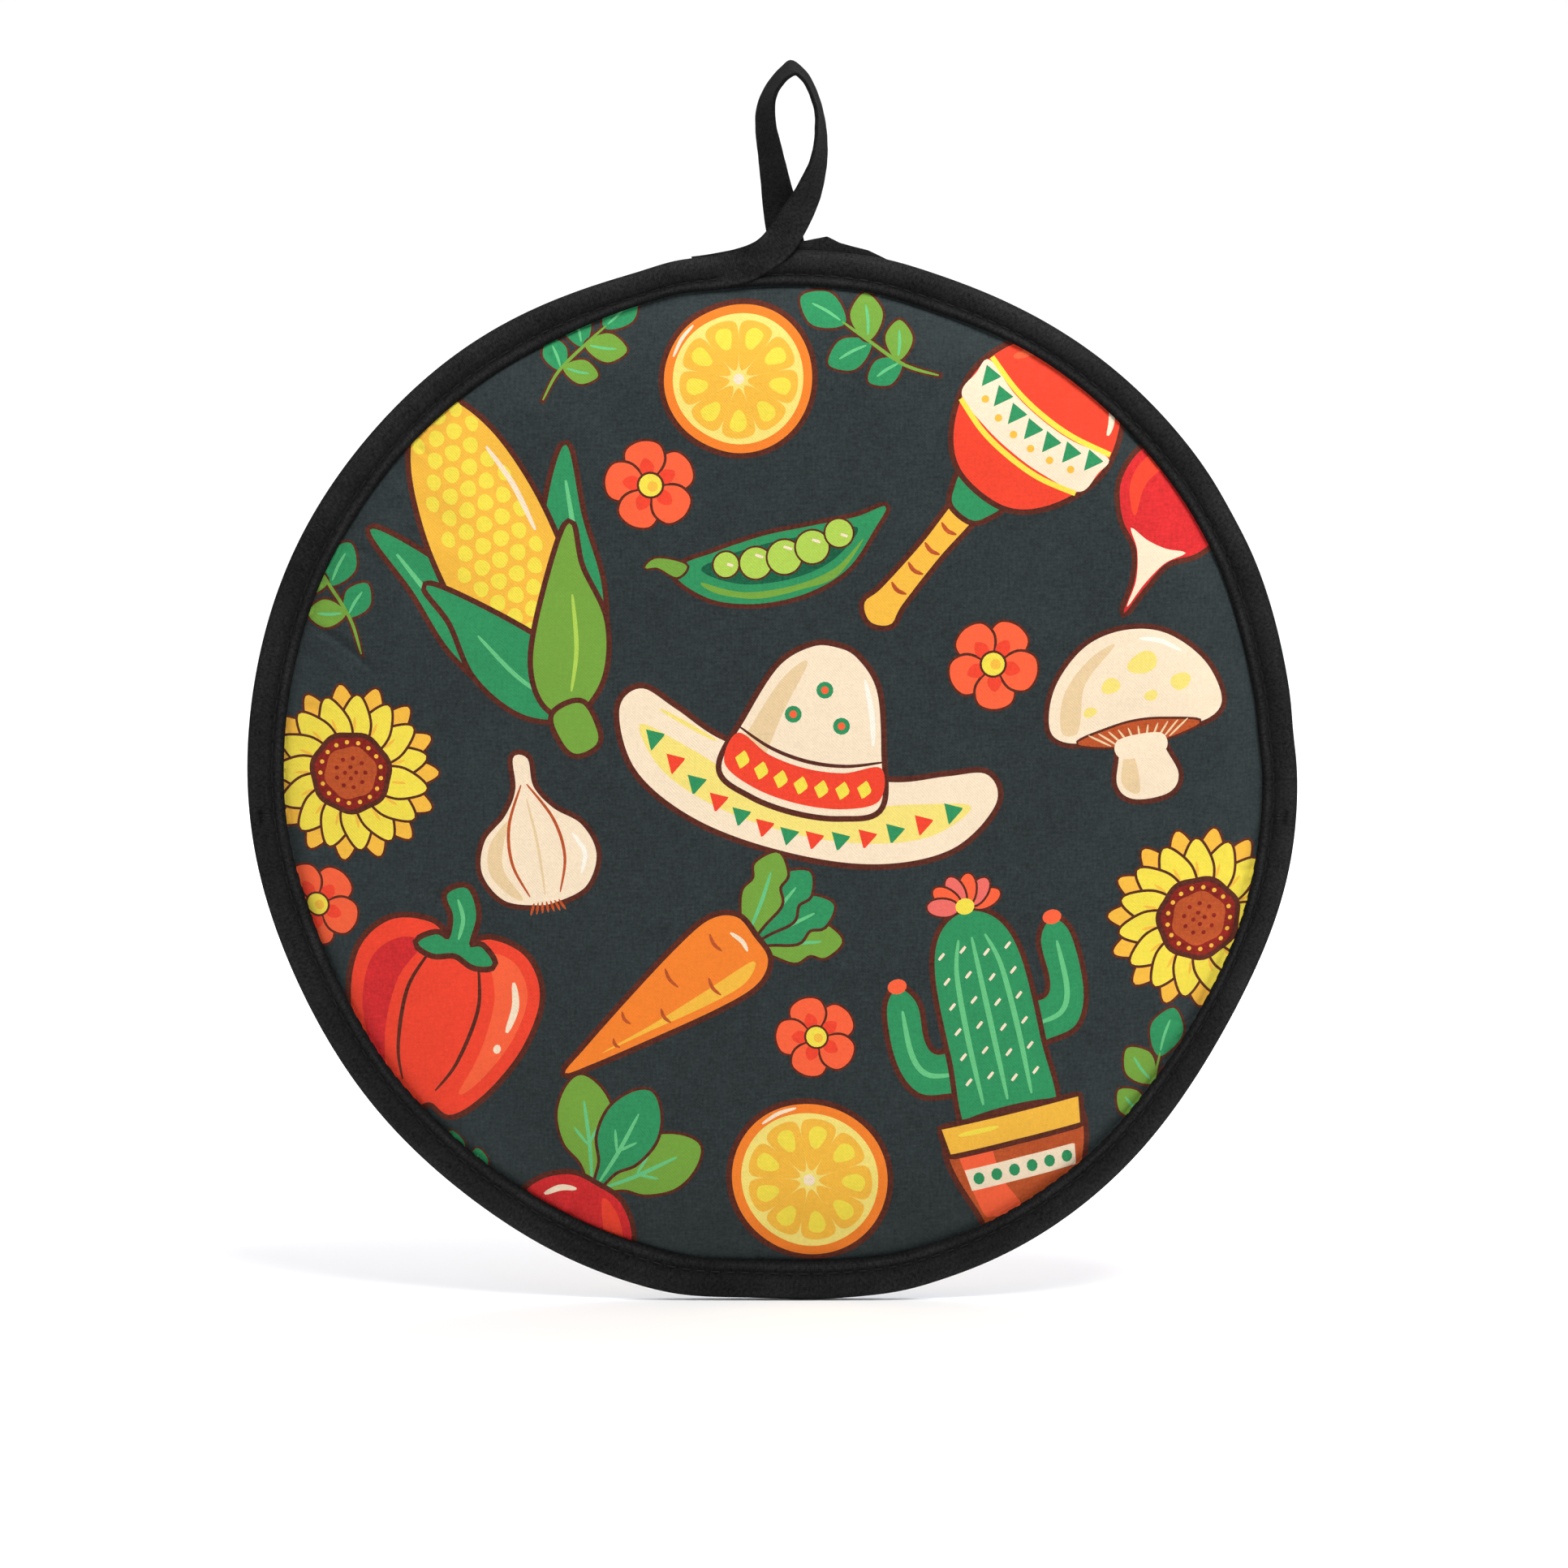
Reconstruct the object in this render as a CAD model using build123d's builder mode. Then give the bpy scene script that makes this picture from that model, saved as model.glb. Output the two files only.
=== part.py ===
"""A round insulated cloth pouch that keeps tortillas warm, with a hanging loop.

Two padded discs, front and back, lie face to face. Each disc is a stack of printed cover,
wadding, reflective film and lining, and its edge is wrapped in a folded tape, the binding.
The discs are sewn together round their lower half. Above the fold line, which runs between
the two corner tacks, each disc is a free lip, and the lips stand a little apart: the mouth.
The front binding's tape runs on past the top of the rim into a loop.

Frame: +Z up, the front face towards -Y, +X to the right as seen from the front. The origin is
the top of the loop's eye, where a hook bears. The plane between the discs is Y = 0.
All sizes are in millimetres and degrees.
"""

from build123d import *
import os
from math import cos, radians, sin

# The discs
pouch_diameter = 300.0
binding_width = 10.0
tape_thickness = 0.5
rim_rounding = 1.0
pocket_gap = 10.0
lining_thickness = 0.4
film_thickness = 0.2
wadding_loft = 4.0
wadding_squeezed = 1.0
cover_thickness = 0.4
shoulder_width = 28.0
ditch_width = 1.2

# The mouth: where the sewn half ends, and how the two lips stand
fold_below_centre = 7.5
lip_tilt = 1.8
lip_clearance = 0.2
fold_gap = 0.4

# Threads: the edge stitching on the binding, the closing seam beside it, and the tacks
thread_width = 0.5
thread_rise = 0.3
stitch_inset = 2.0
stitch_end_gap = 2.0
corner_tack_length = 3.0
corner_tack_gap = 1.5
corner_tack_rise = 0.4
loop_tack_length = 8.0
loop_tack_width = 1.6
loop_tack_rise = 0.4
loop_tack_below_rim = 4.0

# The hanging loop, as seen from the front, measured from the top of its eye
eye_right_of_centre = 7.25
eye_height = 34.0
eye_left = 6.7
eye_right = 3.7
eye_widest_drop = 12.0
eye_lean = 1.2
apex_height = 4.6
apex_lean = 2.8
left_strap = 6.3
right_strap = 4.4
right_widest_drop = 22.0
crossing_height = 15.7
crossing_left = 10.2
crossing_right = 1.9
loop_depth = 9.0

# The strap that climbs over the front binding to the loop, and the tape's end behind the rim
strap_layers = 2
strap_run_left = 14.0
strap_foot = 4.0
strap_lap = 6.0
hinge_above_rim = 3.8
hinge_clearance = 0.3
tail_lap = 8.0
tail_run_right = 12.7
tail_tip_height = 2.4
tail_tip_slope = 4.0

# What follows from those sizes
pouch_radius = pouch_diameter / 2
tape_edge = pouch_radius - binding_width
cloth_radius = pouch_radius - tape_thickness
shoulder_foot = tape_edge - ditch_width
shoulder_top = shoulder_foot - shoulder_width

# Heights over the plane between the discs, lining first: at the crown, and squeezed at the rim
layers = {
    "lining": (lining_thickness, lining_thickness),
    "film": (film_thickness, film_thickness),
    "wadding": (wadding_loft, wadding_squeezed),
    "cover": (cover_thickness, cover_thickness),
}
crown_height = pocket_gap / 2 + sum(crown for crown, rim in layers.values())
cloth_rim_height = tape_thickness + sum(rim for crown, rim in layers.values())
rim_height = cloth_rim_height + tape_thickness

strap_thickness = strap_layers * tape_thickness
centre_x = -eye_right_of_centre
centre_z = -(pouch_radius + crossing_height + eye_height)
fold_z = centre_z - fold_below_centre
fold_height = crown_height + lip_clearance
tack_reach = corner_tack_gap + corner_tack_length

SIDES = {"front": -1, "back": 1}


def fold_frame(sign, half):
    """Frame on a disc's fold line: X along the fold, Y backwards and Z up the cloth."""
    tilt = radians(lip_tilt if half == "lip" else 0)
    return Plane(
        origin=(centre_x, sign * fold_height, fold_z),
        x_dir=(1, 0, 0),
        z_dir=(0, sign * sin(tilt), cos(tilt)),
    )


def disc_plane(sign, half):
    """Plane of a disc's profile: its X is the radius and its Y the height over the mid plane."""
    frame = fold_frame(sign, half)
    inset = fold_height - (lip_clearance if half == "lip" else 0)
    centre = frame.from_local_coords(Vector(0, -sign * inset, fold_below_centre))
    return Plane(origin=centre, x_dir=frame.x_dir, z_dir=frame.z_dir * sign)


def disc_axis(sign, half):
    """Axis of a disc, through its centre."""
    plane = disc_plane(sign, half)
    return Axis(plane.origin, plane.y_dir)


def cut_plane(sign, half, above=0.0):
    """Plane that parts the lip from the sewn half, with half of the fold's gap on each side."""
    frame = fold_frame(sign, half)
    offset = fold_gap / 2 + above if half == "lip" else -fold_gap / 2 - above
    return Plane(origin=frame.origin + frame.z_dir * offset, z_dir=frame.z_dir)


def kept(half):
    """Side of the cut plane that a half keeps."""
    return Keep.TOP if half == "lip" else Keep.BOTTOM


def finish(piece, name):
    """Labels a finished piece and writes its STEP file."""
    piece.part.label = name
    export_step(piece.part, f"parts/{name}.step")


def make_cloth(side, half, name, crown, rim):
    """One layer of a disc: flat at the crown, sloping down its shoulder to the squeezed rim."""
    sign = SIDES[side]
    (crown_low, crown_high), (rim_low, rim_high) = crown, rim
    with BuildPart() as cloth:
        with BuildSketch(disc_plane(sign, half)):
            with BuildLine():
                Polyline(
                    (0, crown_low),
                    (shoulder_top, crown_low),
                    (shoulder_foot, rim_low),
                    (cloth_radius, rim_low),
                    (cloth_radius, rim_high),
                    (shoulder_foot, rim_high),
                    (shoulder_top, crown_high),
                    (0, crown_high),
                    close=True,
                )
            make_face()
        revolve(axis=disc_axis(sign, half))
        split(bisect_by=cut_plane(sign, half), keep=kept(half))
    finish(cloth, f"{side}_{half}_{name}")


def make_binding(side, half):
    """The folded tape round a disc's edge: a channel with a leg on each face and a rounded rim."""
    sign = SIDES[side]
    with BuildPart() as binding:
        with BuildSketch(disc_plane(sign, half)) as channel:
            with BuildLine():
                Polyline(
                    (tape_edge, 0),
                    (pouch_radius, 0),
                    (pouch_radius, rim_height),
                    (tape_edge, rim_height),
                    (tape_edge, cloth_rim_height),
                    (cloth_radius, cloth_rim_height),
                    (cloth_radius, tape_thickness),
                    (tape_edge, tape_thickness),
                    close=True,
                )
            make_face()
            fillet(channel.vertices().group_by(Axis.X)[-1], rim_rounding)
        revolve(axis=disc_axis(sign, half))
        split(bisect_by=cut_plane(sign, half), keep=kept(half))
    finish(binding, f"{side}_{half}_binding")


def thread_ring(sign, half, radius, height, end_gap):
    """A thread laid in a ring on a disc's outer face, cut off a little way from the fold."""
    with BuildPart() as ring:
        with BuildSketch(disc_plane(sign, half)):
            with Locations((radius, height + thread_rise / 2)):
                Rectangle(thread_width, thread_rise)
        revolve(axis=disc_axis(sign, half))
        split(bisect_by=cut_plane(sign, half, end_gap), keep=kept(half))
    return ring


def make_stitching(side, half):
    """The row of edge stitches that holds the binding to a disc."""
    end_gap = stitch_end_gap + (0 if half == "lip" else tack_reach)
    ring = thread_ring(SIDES[side], half, tape_edge + stitch_inset, rim_height, end_gap)
    finish(ring, f"{side}_{half}_stitching")


def make_closing_seam():
    """The seam that joins the discs, sunk in the ditch beside the binding on both faces."""
    radius = tape_edge - ditch_width / 2
    end_gap = stitch_end_gap + tack_reach
    front = thread_ring(SIDES["front"], "base", radius, cloth_rim_height, end_gap)
    back = thread_ring(SIDES["back"], "base", radius, cloth_rim_height, end_gap)
    with BuildPart() as seam:
        add(front.part)
        add(back.part)
    finish(seam, "closing_seam")


def make_corner_tack(side, direction):
    """A bar tack over the rim at one end of the mouth, which ties the two bindings."""
    with BuildPart() as tack:
        with BuildSketch(disc_plane(1, "base")) as wrap:
            with Locations((tape_edge + stitch_inset, 0)):
                Rectangle(
                    pouch_radius - tape_edge - stitch_inset + corner_tack_rise,
                    2 * (rim_height + corner_tack_rise),
                    align=(Align.MIN, Align.CENTER),
                )
            fillet(wrap.vertices().group_by(Axis.X)[-1], rim_rounding)
            Rectangle(
                pouch_radius,
                2 * rim_height,
                align=(Align.MIN, Align.CENTER),
                mode=Mode.SUBTRACT,
            )
        revolve(axis=disc_axis(1, "base"))
        with BuildSketch(Plane.XZ):
            with Locations((centre_x + direction * pouch_radius, fold_z - fold_gap / 2 - corner_tack_gap)):
                Rectangle(pouch_radius, corner_tack_length, align=(Align.CENTER, Align.MAX))
        extrude(amount=pouch_radius, both=True, mode=Mode.INTERSECT)
    finish(tack, f"{side}_corner_tack")


def lip_front_plane(height):
    """Plane on the front lip at a height over its mid plane: X to the right, Y up, from the centre."""
    plane = disc_plane(SIDES["front"], "lip")
    upwards = fold_frame(SIDES["front"], "lip").z_dir
    origin = plane.origin + plane.y_dir * height
    return Plane(origin=origin, x_dir=(1, 0, 0), z_dir=Vector(1, 0, 0).cross(upwards))


# The loop's hinge line lies in the middle of the strap that lies on the front binding
hinge_height = rim_height + strap_thickness / 2
hinge_point = lip_front_plane(hinge_height).from_local_coords(Vector(0, pouch_radius + hinge_above_rim, 0))
strap_left = -crossing_left - centre_x
strap_right = crossing_right - centre_x


def make_loop_strap():
    """The strap where the tape leaves the rim: it crosses the binding and rises to the hinge."""
    top = pouch_radius + hinge_above_rim - strap_thickness / 2 - hinge_clearance
    foot = pouch_radius - strap_lap
    with BuildPart() as strap:
        with BuildSketch(lip_front_plane(rim_height)):
            with BuildLine():
                rise = Spline(
                    (strap_left - strap_run_left, foot + strap_foot),
                    (strap_left, top),
                    tangents=((1, 0.2), (0.5, 1)),
                )
                Polyline(rise @ 1, (strap_right, top), (strap_left, foot), rise @ 0)
            make_face()
        extrude(amount=strap_thickness)
    finish(strap, "loop_strap")


def make_loop_tail():
    """The tape's folded end behind the rim; its corner stands proud of the rim beside the loop."""
    end = strap_right + tail_run_right
    with BuildPart() as tail:
        with BuildSketch(lip_front_plane(0)):
            with BuildLine():
                Polyline(
                    (strap_left, pouch_radius - tail_lap),
                    (end, pouch_radius - tail_lap),
                    (end, pouch_radius - tail_tip_height),
                    (end - tail_tip_slope, pouch_radius + tail_tip_height),
                    (strap_left, pouch_radius + tail_tip_height / 2),
                    close=True,
                )
            make_face()
        extrude(amount=-strap_thickness)
    finish(tail, "loop_tail")


def make_loop_tack():
    """The bar tack that holds the tape's end behind the rim."""
    middle = (strap_left + strap_right) / 2
    with BuildPart() as tack:
        with BuildSketch(lip_front_plane(-strap_thickness)):
            with Locations((middle, pouch_radius - loop_tack_below_rim)):
                Rectangle(loop_tack_length, loop_tack_width)
        extrude(amount=-loop_tack_rise)
    finish(tack, "loop_tack")


def make_hanging_loop():
    """The loop: a pointed ring of tape, thin at its base, as deep as the tape is wide at its top."""
    base_radius = strap_thickness / 2
    foot = hinge_point.Z - strap_thickness
    with BuildPart() as loop:
        with BuildSketch(Plane.XZ):
            with BuildLine():
                Spline(
                    (-apex_lean, apex_height),
                    (-eye_left - left_strap, -eye_widest_drop),
                    (-crossing_left, foot),
                )
                Spline(
                    (-apex_lean, apex_height),
                    (eye_right + right_strap, -right_widest_drop),
                    (crossing_right, foot),
                )
                Line((-crossing_left, foot), (crossing_right, foot))
            make_face()
            with BuildLine():
                Spline((0, 0), (-eye_left, -eye_widest_drop), (-eye_lean, -eye_height))
                Spline((0, 0), (eye_right, -eye_widest_drop), (-eye_lean, -eye_height))
            make_face(mode=Mode.SUBTRACT)
        extrude(amount=pouch_radius, both=True)
        with BuildSketch(Plane.YZ):
            with BuildLine():
                Polyline(
                    (hinge_point.Y + base_radius, hinge_point.Z),
                    (loop_depth / 2, 0),
                    (loop_depth / 2, apex_height),
                    (-loop_depth / 2, apex_height),
                    (-loop_depth / 2, 0),
                    (hinge_point.Y - base_radius, hinge_point.Z),
                )
                ThreePointArc(
                    (hinge_point.Y - base_radius, hinge_point.Z),
                    (hinge_point.Y, hinge_point.Z - base_radius),
                    (hinge_point.Y + base_radius, hinge_point.Z),
                )
            make_face()
        extrude(amount=pouch_radius, both=True, mode=Mode.INTERSECT)
    finish(loop, "hanging_loop")


def make_disc(side):
    """Every layer, the binding and the edge stitching of one disc, lip and sewn half apart."""
    for half in ("lip", "base"):
        crown_low, rim_low = pocket_gap / 2, tape_thickness
        for name, (crown, rim) in layers.items():
            make_cloth(side, half, name, (crown_low, crown_low + crown), (rim_low, rim_low + rim))
            crown_low, rim_low = crown_low + crown, rim_low + rim
        make_binding(side, half)
        make_stitching(side, half)


os.makedirs("parts", exist_ok=True)
for side in SIDES:
    make_disc(side)
make_closing_seam()
make_corner_tack("left", -1)
make_corner_tack("right", 1)
make_loop_strap()
make_loop_tail()
make_loop_tack()
make_hanging_loop()
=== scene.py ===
"""The tortilla warmer, dressed: a round padded cloth pouch with a printed cover, black binding
and a hanging loop of the binding's own tape.

Each disc is made flat, in its own cloth, and then put in its place: u is to the right and v is up
from the disc's centre, and h is the height over the plane between the two discs. Those three are
in millimetres. placed() turns them into the frame's metres.
"""

import math

import bmesh
import bpy
import numpy as np
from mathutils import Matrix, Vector
from mathutils.geometry import delaunay_2d_cdt
from mathutils.kdtree import KDTree


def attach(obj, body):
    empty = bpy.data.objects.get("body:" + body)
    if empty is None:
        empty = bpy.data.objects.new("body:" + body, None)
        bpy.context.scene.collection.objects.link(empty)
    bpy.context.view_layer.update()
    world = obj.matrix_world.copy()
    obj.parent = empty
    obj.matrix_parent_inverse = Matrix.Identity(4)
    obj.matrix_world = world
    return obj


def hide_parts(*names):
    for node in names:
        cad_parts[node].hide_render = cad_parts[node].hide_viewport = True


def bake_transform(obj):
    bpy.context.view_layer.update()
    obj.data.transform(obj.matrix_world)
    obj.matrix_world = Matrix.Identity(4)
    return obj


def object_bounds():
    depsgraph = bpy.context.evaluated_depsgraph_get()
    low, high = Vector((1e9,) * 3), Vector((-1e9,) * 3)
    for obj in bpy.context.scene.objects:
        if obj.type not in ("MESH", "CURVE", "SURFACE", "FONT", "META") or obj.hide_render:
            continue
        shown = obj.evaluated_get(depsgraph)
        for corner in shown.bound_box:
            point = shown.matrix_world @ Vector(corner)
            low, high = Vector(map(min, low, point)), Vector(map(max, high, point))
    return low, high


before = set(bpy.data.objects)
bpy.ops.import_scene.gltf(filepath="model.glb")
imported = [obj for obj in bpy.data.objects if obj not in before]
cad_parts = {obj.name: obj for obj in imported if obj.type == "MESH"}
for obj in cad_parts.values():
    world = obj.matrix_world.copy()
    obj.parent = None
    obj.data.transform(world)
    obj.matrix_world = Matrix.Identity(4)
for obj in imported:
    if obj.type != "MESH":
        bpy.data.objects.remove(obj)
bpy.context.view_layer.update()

MM = 0.001

# ------------------------------------------------------------------ the pouch's sizes
RADIUS = 150.0
# The binding's inner edge, the cut edge of the layers inside it, and how far out the print reaches
TAPE_EDGE = 140.0
CLOTH_EDGE = 149.3
PRINT_EDGE = 141.6
# The padding rises inwards from its foot, over the shoulder, to the crown
SHOULDER_FOOT = 139.4
SHOULDER = 30.0
CROWN = 10.0
# The binding squeezes the layers from here out, by this share at their cut edge
PINCH_FOOT = 144.5
PINCH = 0.4
# How much of the cover's relief shows on the faces under it
RELIEF_BELOW = 0.25
# The discs' centre in the frame, and the fold that the lips turn on, below it
CENTRE_X = -7.25
CENTRE_Z = -199.7
FOLD_DROP = 7.5
FOLD_HALF = 12.0
LIP_TILT = math.radians(1.8)
LIP_CLEARANCE = 0.2
SIDES = {"front": -1, "back": 1}

# Height of each layer's inner and outer face, at the squeezed rim and at the crown
LAYERS = {
    "lining": ((0.5, 0.9), (5.0, 5.4)),
    "film": ((0.92, 1.08), (5.42, 5.58)),
    "wadding": ((1.1, 2.08), (5.6, 9.58)),
    "cover": ((2.1, 2.5), (9.6, 10.0)),
}

# The hand-sewn outline isn't a true circle: waves round it, as (how many, millimetres, degrees)
OUTLINE_WAVES = (
    (2, 0.53, -155), (3, 1.22, 124), (5, 0.22, 38), (6, 0.31, 2), (7, 0.36, -84), (8, 0.28, -82),
    (11, 0.2, -103),
)
OUTLINE_SHRINK = 0.2
# and places where it stands out or in, as (degrees, half width in degrees, millimetres)
OUTLINE_BUMPS = (
    (78, 4.5, 0.4), (101, 3, 0.6), (259, 5, 0.45), (268, 6, -0.7), (284, 4, 0.4), (5, 3, -0.4),
    (30, 4, -0.3),
)
# How far the binding's inner edge lies outside the even one, in the same way
EDGE_BUMPS = (
    (255, 34, -1.4), (200, 20, -0.7), (140, 28, -0.6), (15, 8, -0.6), (332, 13, 1.1), (104, 8, 0.9),
    (52, 14, 0.4),
)

STITCH_RADIUS = 143.0
STITCHES = 212
STITCH_PULL = 0.26
# How high a stitch lies over its pulled place, and how much of the binding's waver it follows
STITCH_LIFT = 0.12
STITCH_WAVER = 0.43
SEAM_RADIUS = 140.0
SEAM_HEIGHT = 1.6


# ------------------------------------------------------------------ the discs' shape
def eased(t):
    """0 to 1, starting and ending gently."""
    t = np.clip(t, 0, 1)
    return t * t * (3 - 2 * t)


def waves(angle, parts):
    """A sum of waves round a disc, each as (how many, size, degrees)."""
    return sum(size * np.cos(count * angle - math.radians(turn)) for count, size, turn in parts)


def bell(x):
    """1 in the middle, falling off evenly on both sides."""
    return np.exp(-(x**2))


def bumps(angle, parts):
    """A sum of bumps round a disc, each as (degrees, half width in degrees, size)."""
    total = 0
    for degrees, half, size in parts:
        away = (np.degrees(angle) - degrees + 180) % 360 - 180
        total = total + size * bell(away / half)
    return total


def polar(u, v):
    """A point's distance from the disc's centre, and its angle."""
    return np.hypot(u, v), np.arctan2(v, u)


def on_ring(radius, angle):
    """The point of a ring at an angle: the reverse of polar()."""
    return radius * np.cos(angle), radius * np.sin(angle)


def uneven(u, v):
    """The same point on the cloth as it was really cut and sewn, a little out of round."""
    r, angle = polar(u, v)
    out = waves(angle, OUTLINE_WAVES) - OUTLINE_SHRINK + bumps(angle, OUTLINE_BUMPS)
    out = out * np.minimum(r / RADIUS, 1) ** 2
    grow = 1 + out / np.maximum(r, 1)
    return u * grow, v * grow


def placed(side, u, v, h):
    """Where a point of a disc is, in the frame's metres, one row per point."""
    sign = SIDES[side]
    u, v = uneven(np.asarray(u, float), np.asarray(v, float))
    above = v + FOLD_DROP
    share = np.clip((above + FOLD_HALF) / (2 * FOLD_HALF), 0, 1)
    up = np.where(above > FOLD_HALF, above, share * share * FOLD_HALF)
    tilt = LIP_TILT * share
    out = h + LIP_CLEARANCE * eased(share) + up * math.sin(LIP_TILT) + (CROWN - h) * (1 - np.cos(tilt))
    height = CENTRE_Z + v - up * (1 - math.cos(LIP_TILT)) - (h - CROWN) * np.sin(tilt)
    return np.column_stack([CENTRE_X + u, sign * out, height]) * MM


# How much a crease in the cover bows, and where each one lies, its direction, length, width and depth
CREASE_BOW = 0.012
CREASES = (
    (-121.6, 38.4, -34, 21, 1.5, -1.7),
    (-124.0, 50.5, 14, 10, 1.5, -0.9),
    (-116.0, 64.0, -24, 10, 1.8, -0.9),
    (-123.5, 33.0, -38, 16, 2.0, 0.8),
    (-131.0, 20.0, -12, 9, 1.6, -0.6),
    (-56.0, -122.5, 58, 13, 1.9, -1.4),
    (-50.0, -124.0, 70, 10, 1.7, 0.5),
    (84.0, 111.0, 62, 11, 1.8, -0.8),
    (128.0, -44.0, 20, 11, 2.0, -0.7),
    (34.0, -131.0, 84, 10, 2.0, -0.7),
    (131.0, 22.0, 4, 10, 2.0, -0.6),
    (-98.0, -94.0, 40, 12, 2.0, -0.8),
    (112.0, -78.0, -34, 14, 2.2, -0.7),
    (-106.0, 86.0, -46, 10, 1.9, -0.6),
)
# Short tucks that the binding nips into the cover's edge: how far out they lie, how many degrees they
# slant, and the angle, length, width and depth of each
TUCK_RADIUS = 137.5
TUCK_SLANT = 6
TUCKS = (
    (38, 9, 1.0, -0.8), (46, 7, 0.9, -0.6), (57, 10, 1.1, -0.9), (64, 6, 0.9, -0.5), (19, 7, 1.0, -0.6),
    (82, 6, 1.0, -0.5), (118, 7, 1.0, -0.6), (137, 8, 1.1, -0.7), (152, 6, 0.9, -0.5), (187, 7, 1.0, -0.6),
    (214, 8, 1.0, -0.7), (236, 7, 1.0, -0.7), (268, 8, 1.1, -0.8), (286, 6, 0.9, -0.6), (308, 8, 1.0, -0.7),
    (329, 7, 1.0, -0.6), (349, 8, 1.1, -0.7),
)
CREASES += tuple(
    (*on_ring(TUCK_RADIUS, math.radians(turn)), turn + TUCK_SLANT, *shape) for turn, *shape in TUCKS
)
# How the cover gathers at the binding, and its ditch there: how deep and wide, and how much more of
# both below the fold, where the closing seam pulls it
GATHERS = ((43, 0.05, 250), (58, 0.06, 75), (71, 0.06, 300))
DITCH_DEPTH = 0.8
DITCH_WIDTH = 1.3
SEAMED_DITCH = 0.5
# The square map of the settled cloth's heights: millimetres between its places, and how many to a side
MAP_STEP = 2.5
MAP_HALF = 60


def crease(u, v, creases):
    """The height that creases add at a point."""
    total = np.zeros(np.shape(u))
    for at_u, at_v, turn, length, width, depth in creases:
        c, s = on_ring(1, math.radians(turn))
        along, across = (u - at_u) * c + (v - at_v) * s, (v - at_v) * c - (u - at_u) * s
        across = across + CREASE_BOW * along**2
        fold = bell(across / width) - 0.45 * bell(across / width / 2)
        total = total + depth * bell(along / length * 2) * fold
    return total


def looked_up(heights, u, v):
    """The height at a point, from a square map of heights, smoothly between its places."""
    x, y = u / MAP_STEP + MAP_HALF, v / MAP_STEP + MAP_HALF
    x, y = np.clip(x, 1, 2 * MAP_HALF - 3), np.clip(y, 1, 2 * MAP_HALF - 3)
    column, row = np.floor(x).astype(int), np.floor(y).astype(int)
    s, t = x - column, y - row
    total = 0
    for i, share_x in enumerate(spline_shares(s)):
        for j, share_y in enumerate(spline_shares(t)):
            total = total + share_x * share_y * heights[row + j - 1, column + i - 1]
    return total


def spline_shares(t):
    """The shares of four places in a row in a point that lies t of the way from the second to the third."""
    return ((1 - t) ** 3 / 6, (3 * t**3 - 6 * t**2 + 4) / 6, (-3 * t**3 + 3 * t**2 + 3 * t + 1) / 6, t**3 / 6)


# Each side's map of how its cover has settled, once it has
SETTLED = {}


def relief(side, u, v):
    """What the cover's padded face adds to its even crown: soft lumps, gathers and creases."""
    r, angle = polar(u, v)
    sign = SIDES[side]
    to_edge = TAPE_EDGE - r
    settled = looked_up(SETTLED[side], u, v) * eased((to_edge - 1.2) / 5) if side in SETTLED else 0
    seamed = eased((-FOLD_DROP - 4 - v) / 8)
    from_tape = 0.2 + 0.4 * seamed - to_edge - bumps(angle, EDGE_BUMPS)
    ditch = -(DITCH_DEPTH + SEAMED_DITCH * seamed) * bell(from_tape / (DITCH_WIDTH + SEAMED_DITCH * seamed))
    lumps = 0.16 * np.sin(u / 13 + 0.7 * np.sin(v / 19 + sign)) * np.sin(v / 11 + 0.8 * np.sin(u / 23))
    lumps = lumps + 0.22 * np.sin(u / 31 + v / 27 + 1.3 * sign) * np.cos(v / 37 - u / 41)
    gather = waves(angle + 0.3 * sign, GATHERS) * np.exp(-np.abs(to_edge) / 10) * eased(to_edge / 3)
    # The back's creases lie left for right
    own_creases = [(-sign * at_u, *shape) for at_u, *shape in CREASES]
    return (lumps + crease(u, v, own_creases)) * eased((to_edge + 1) / 4) + ditch + gather + settled


def loft(u, v):
    """How far the padding has risen at a point: 0 at the binding and 1 on the crown."""
    r = np.hypot(u, v)
    t = np.clip((SHOULDER_FOOT - r) / SHOULDER, 0, 1)
    return (1 - (1 - t) ** 2.3) * (1.03 - 0.12 * (r / 125) ** 2)


def layer_height(side, layer, outer, u, v):
    """Height of one face of one layer."""
    rim, crown = (faces[int(outer)] for faces in LAYERS[layer])
    rise = loft(u, v)
    soft = 1.0 if layer == "cover" or (layer == "wadding" and outer) else RELIEF_BELOW
    pinched = 1 - PINCH * eased((np.hypot(u, v) - PINCH_FOOT) / (CLOTH_EDGE - PINCH_FOOT))
    return (rim + (crown - rim) * rise + soft * relief(side, u, v)) * pinched


# The binding's outer face: how high it is at each radius, over its folded edge, its ridge, the
# groove of the stitches, the swell over the cloth's edge and the turn round the rim
BINDING_PROFILE = (
    (139.8, 2.7), (140.1, 2.98), (140.6, 3.34), (141.2, 3.5), (141.8, 3.44), (142.4, 3.14), (143.0, 2.92),
    (143.6, 3.12), (144.4, 3.5), (145.4, 3.74), (146.4, 3.7), (147.4, 3.42), (148.3, 2.95), (149.0, 2.36),
    (149.5, 1.8), (149.8, 1.4), (149.92, 1.2),
)
# and how worn it is there, partly wear and partly painted light: painted shade in the ditch, the stitch
# groove and at the outermost edge, painted highlight on the ridge and where the tape turns round the rim
BINDING_WEAR_AND_LIGHT = (
    (139.8, 0.0), (140.6, 0.15), (141.3, 0.75), (141.9, 0.7), (142.5, 0.15), (143.4, 0.1), (144.4, 0.35),
    (146.5, 0.45), (148.4, 0.75), (149.2, 0.6), (149.7, 0.3), (150.0, 0.2),
)
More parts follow.
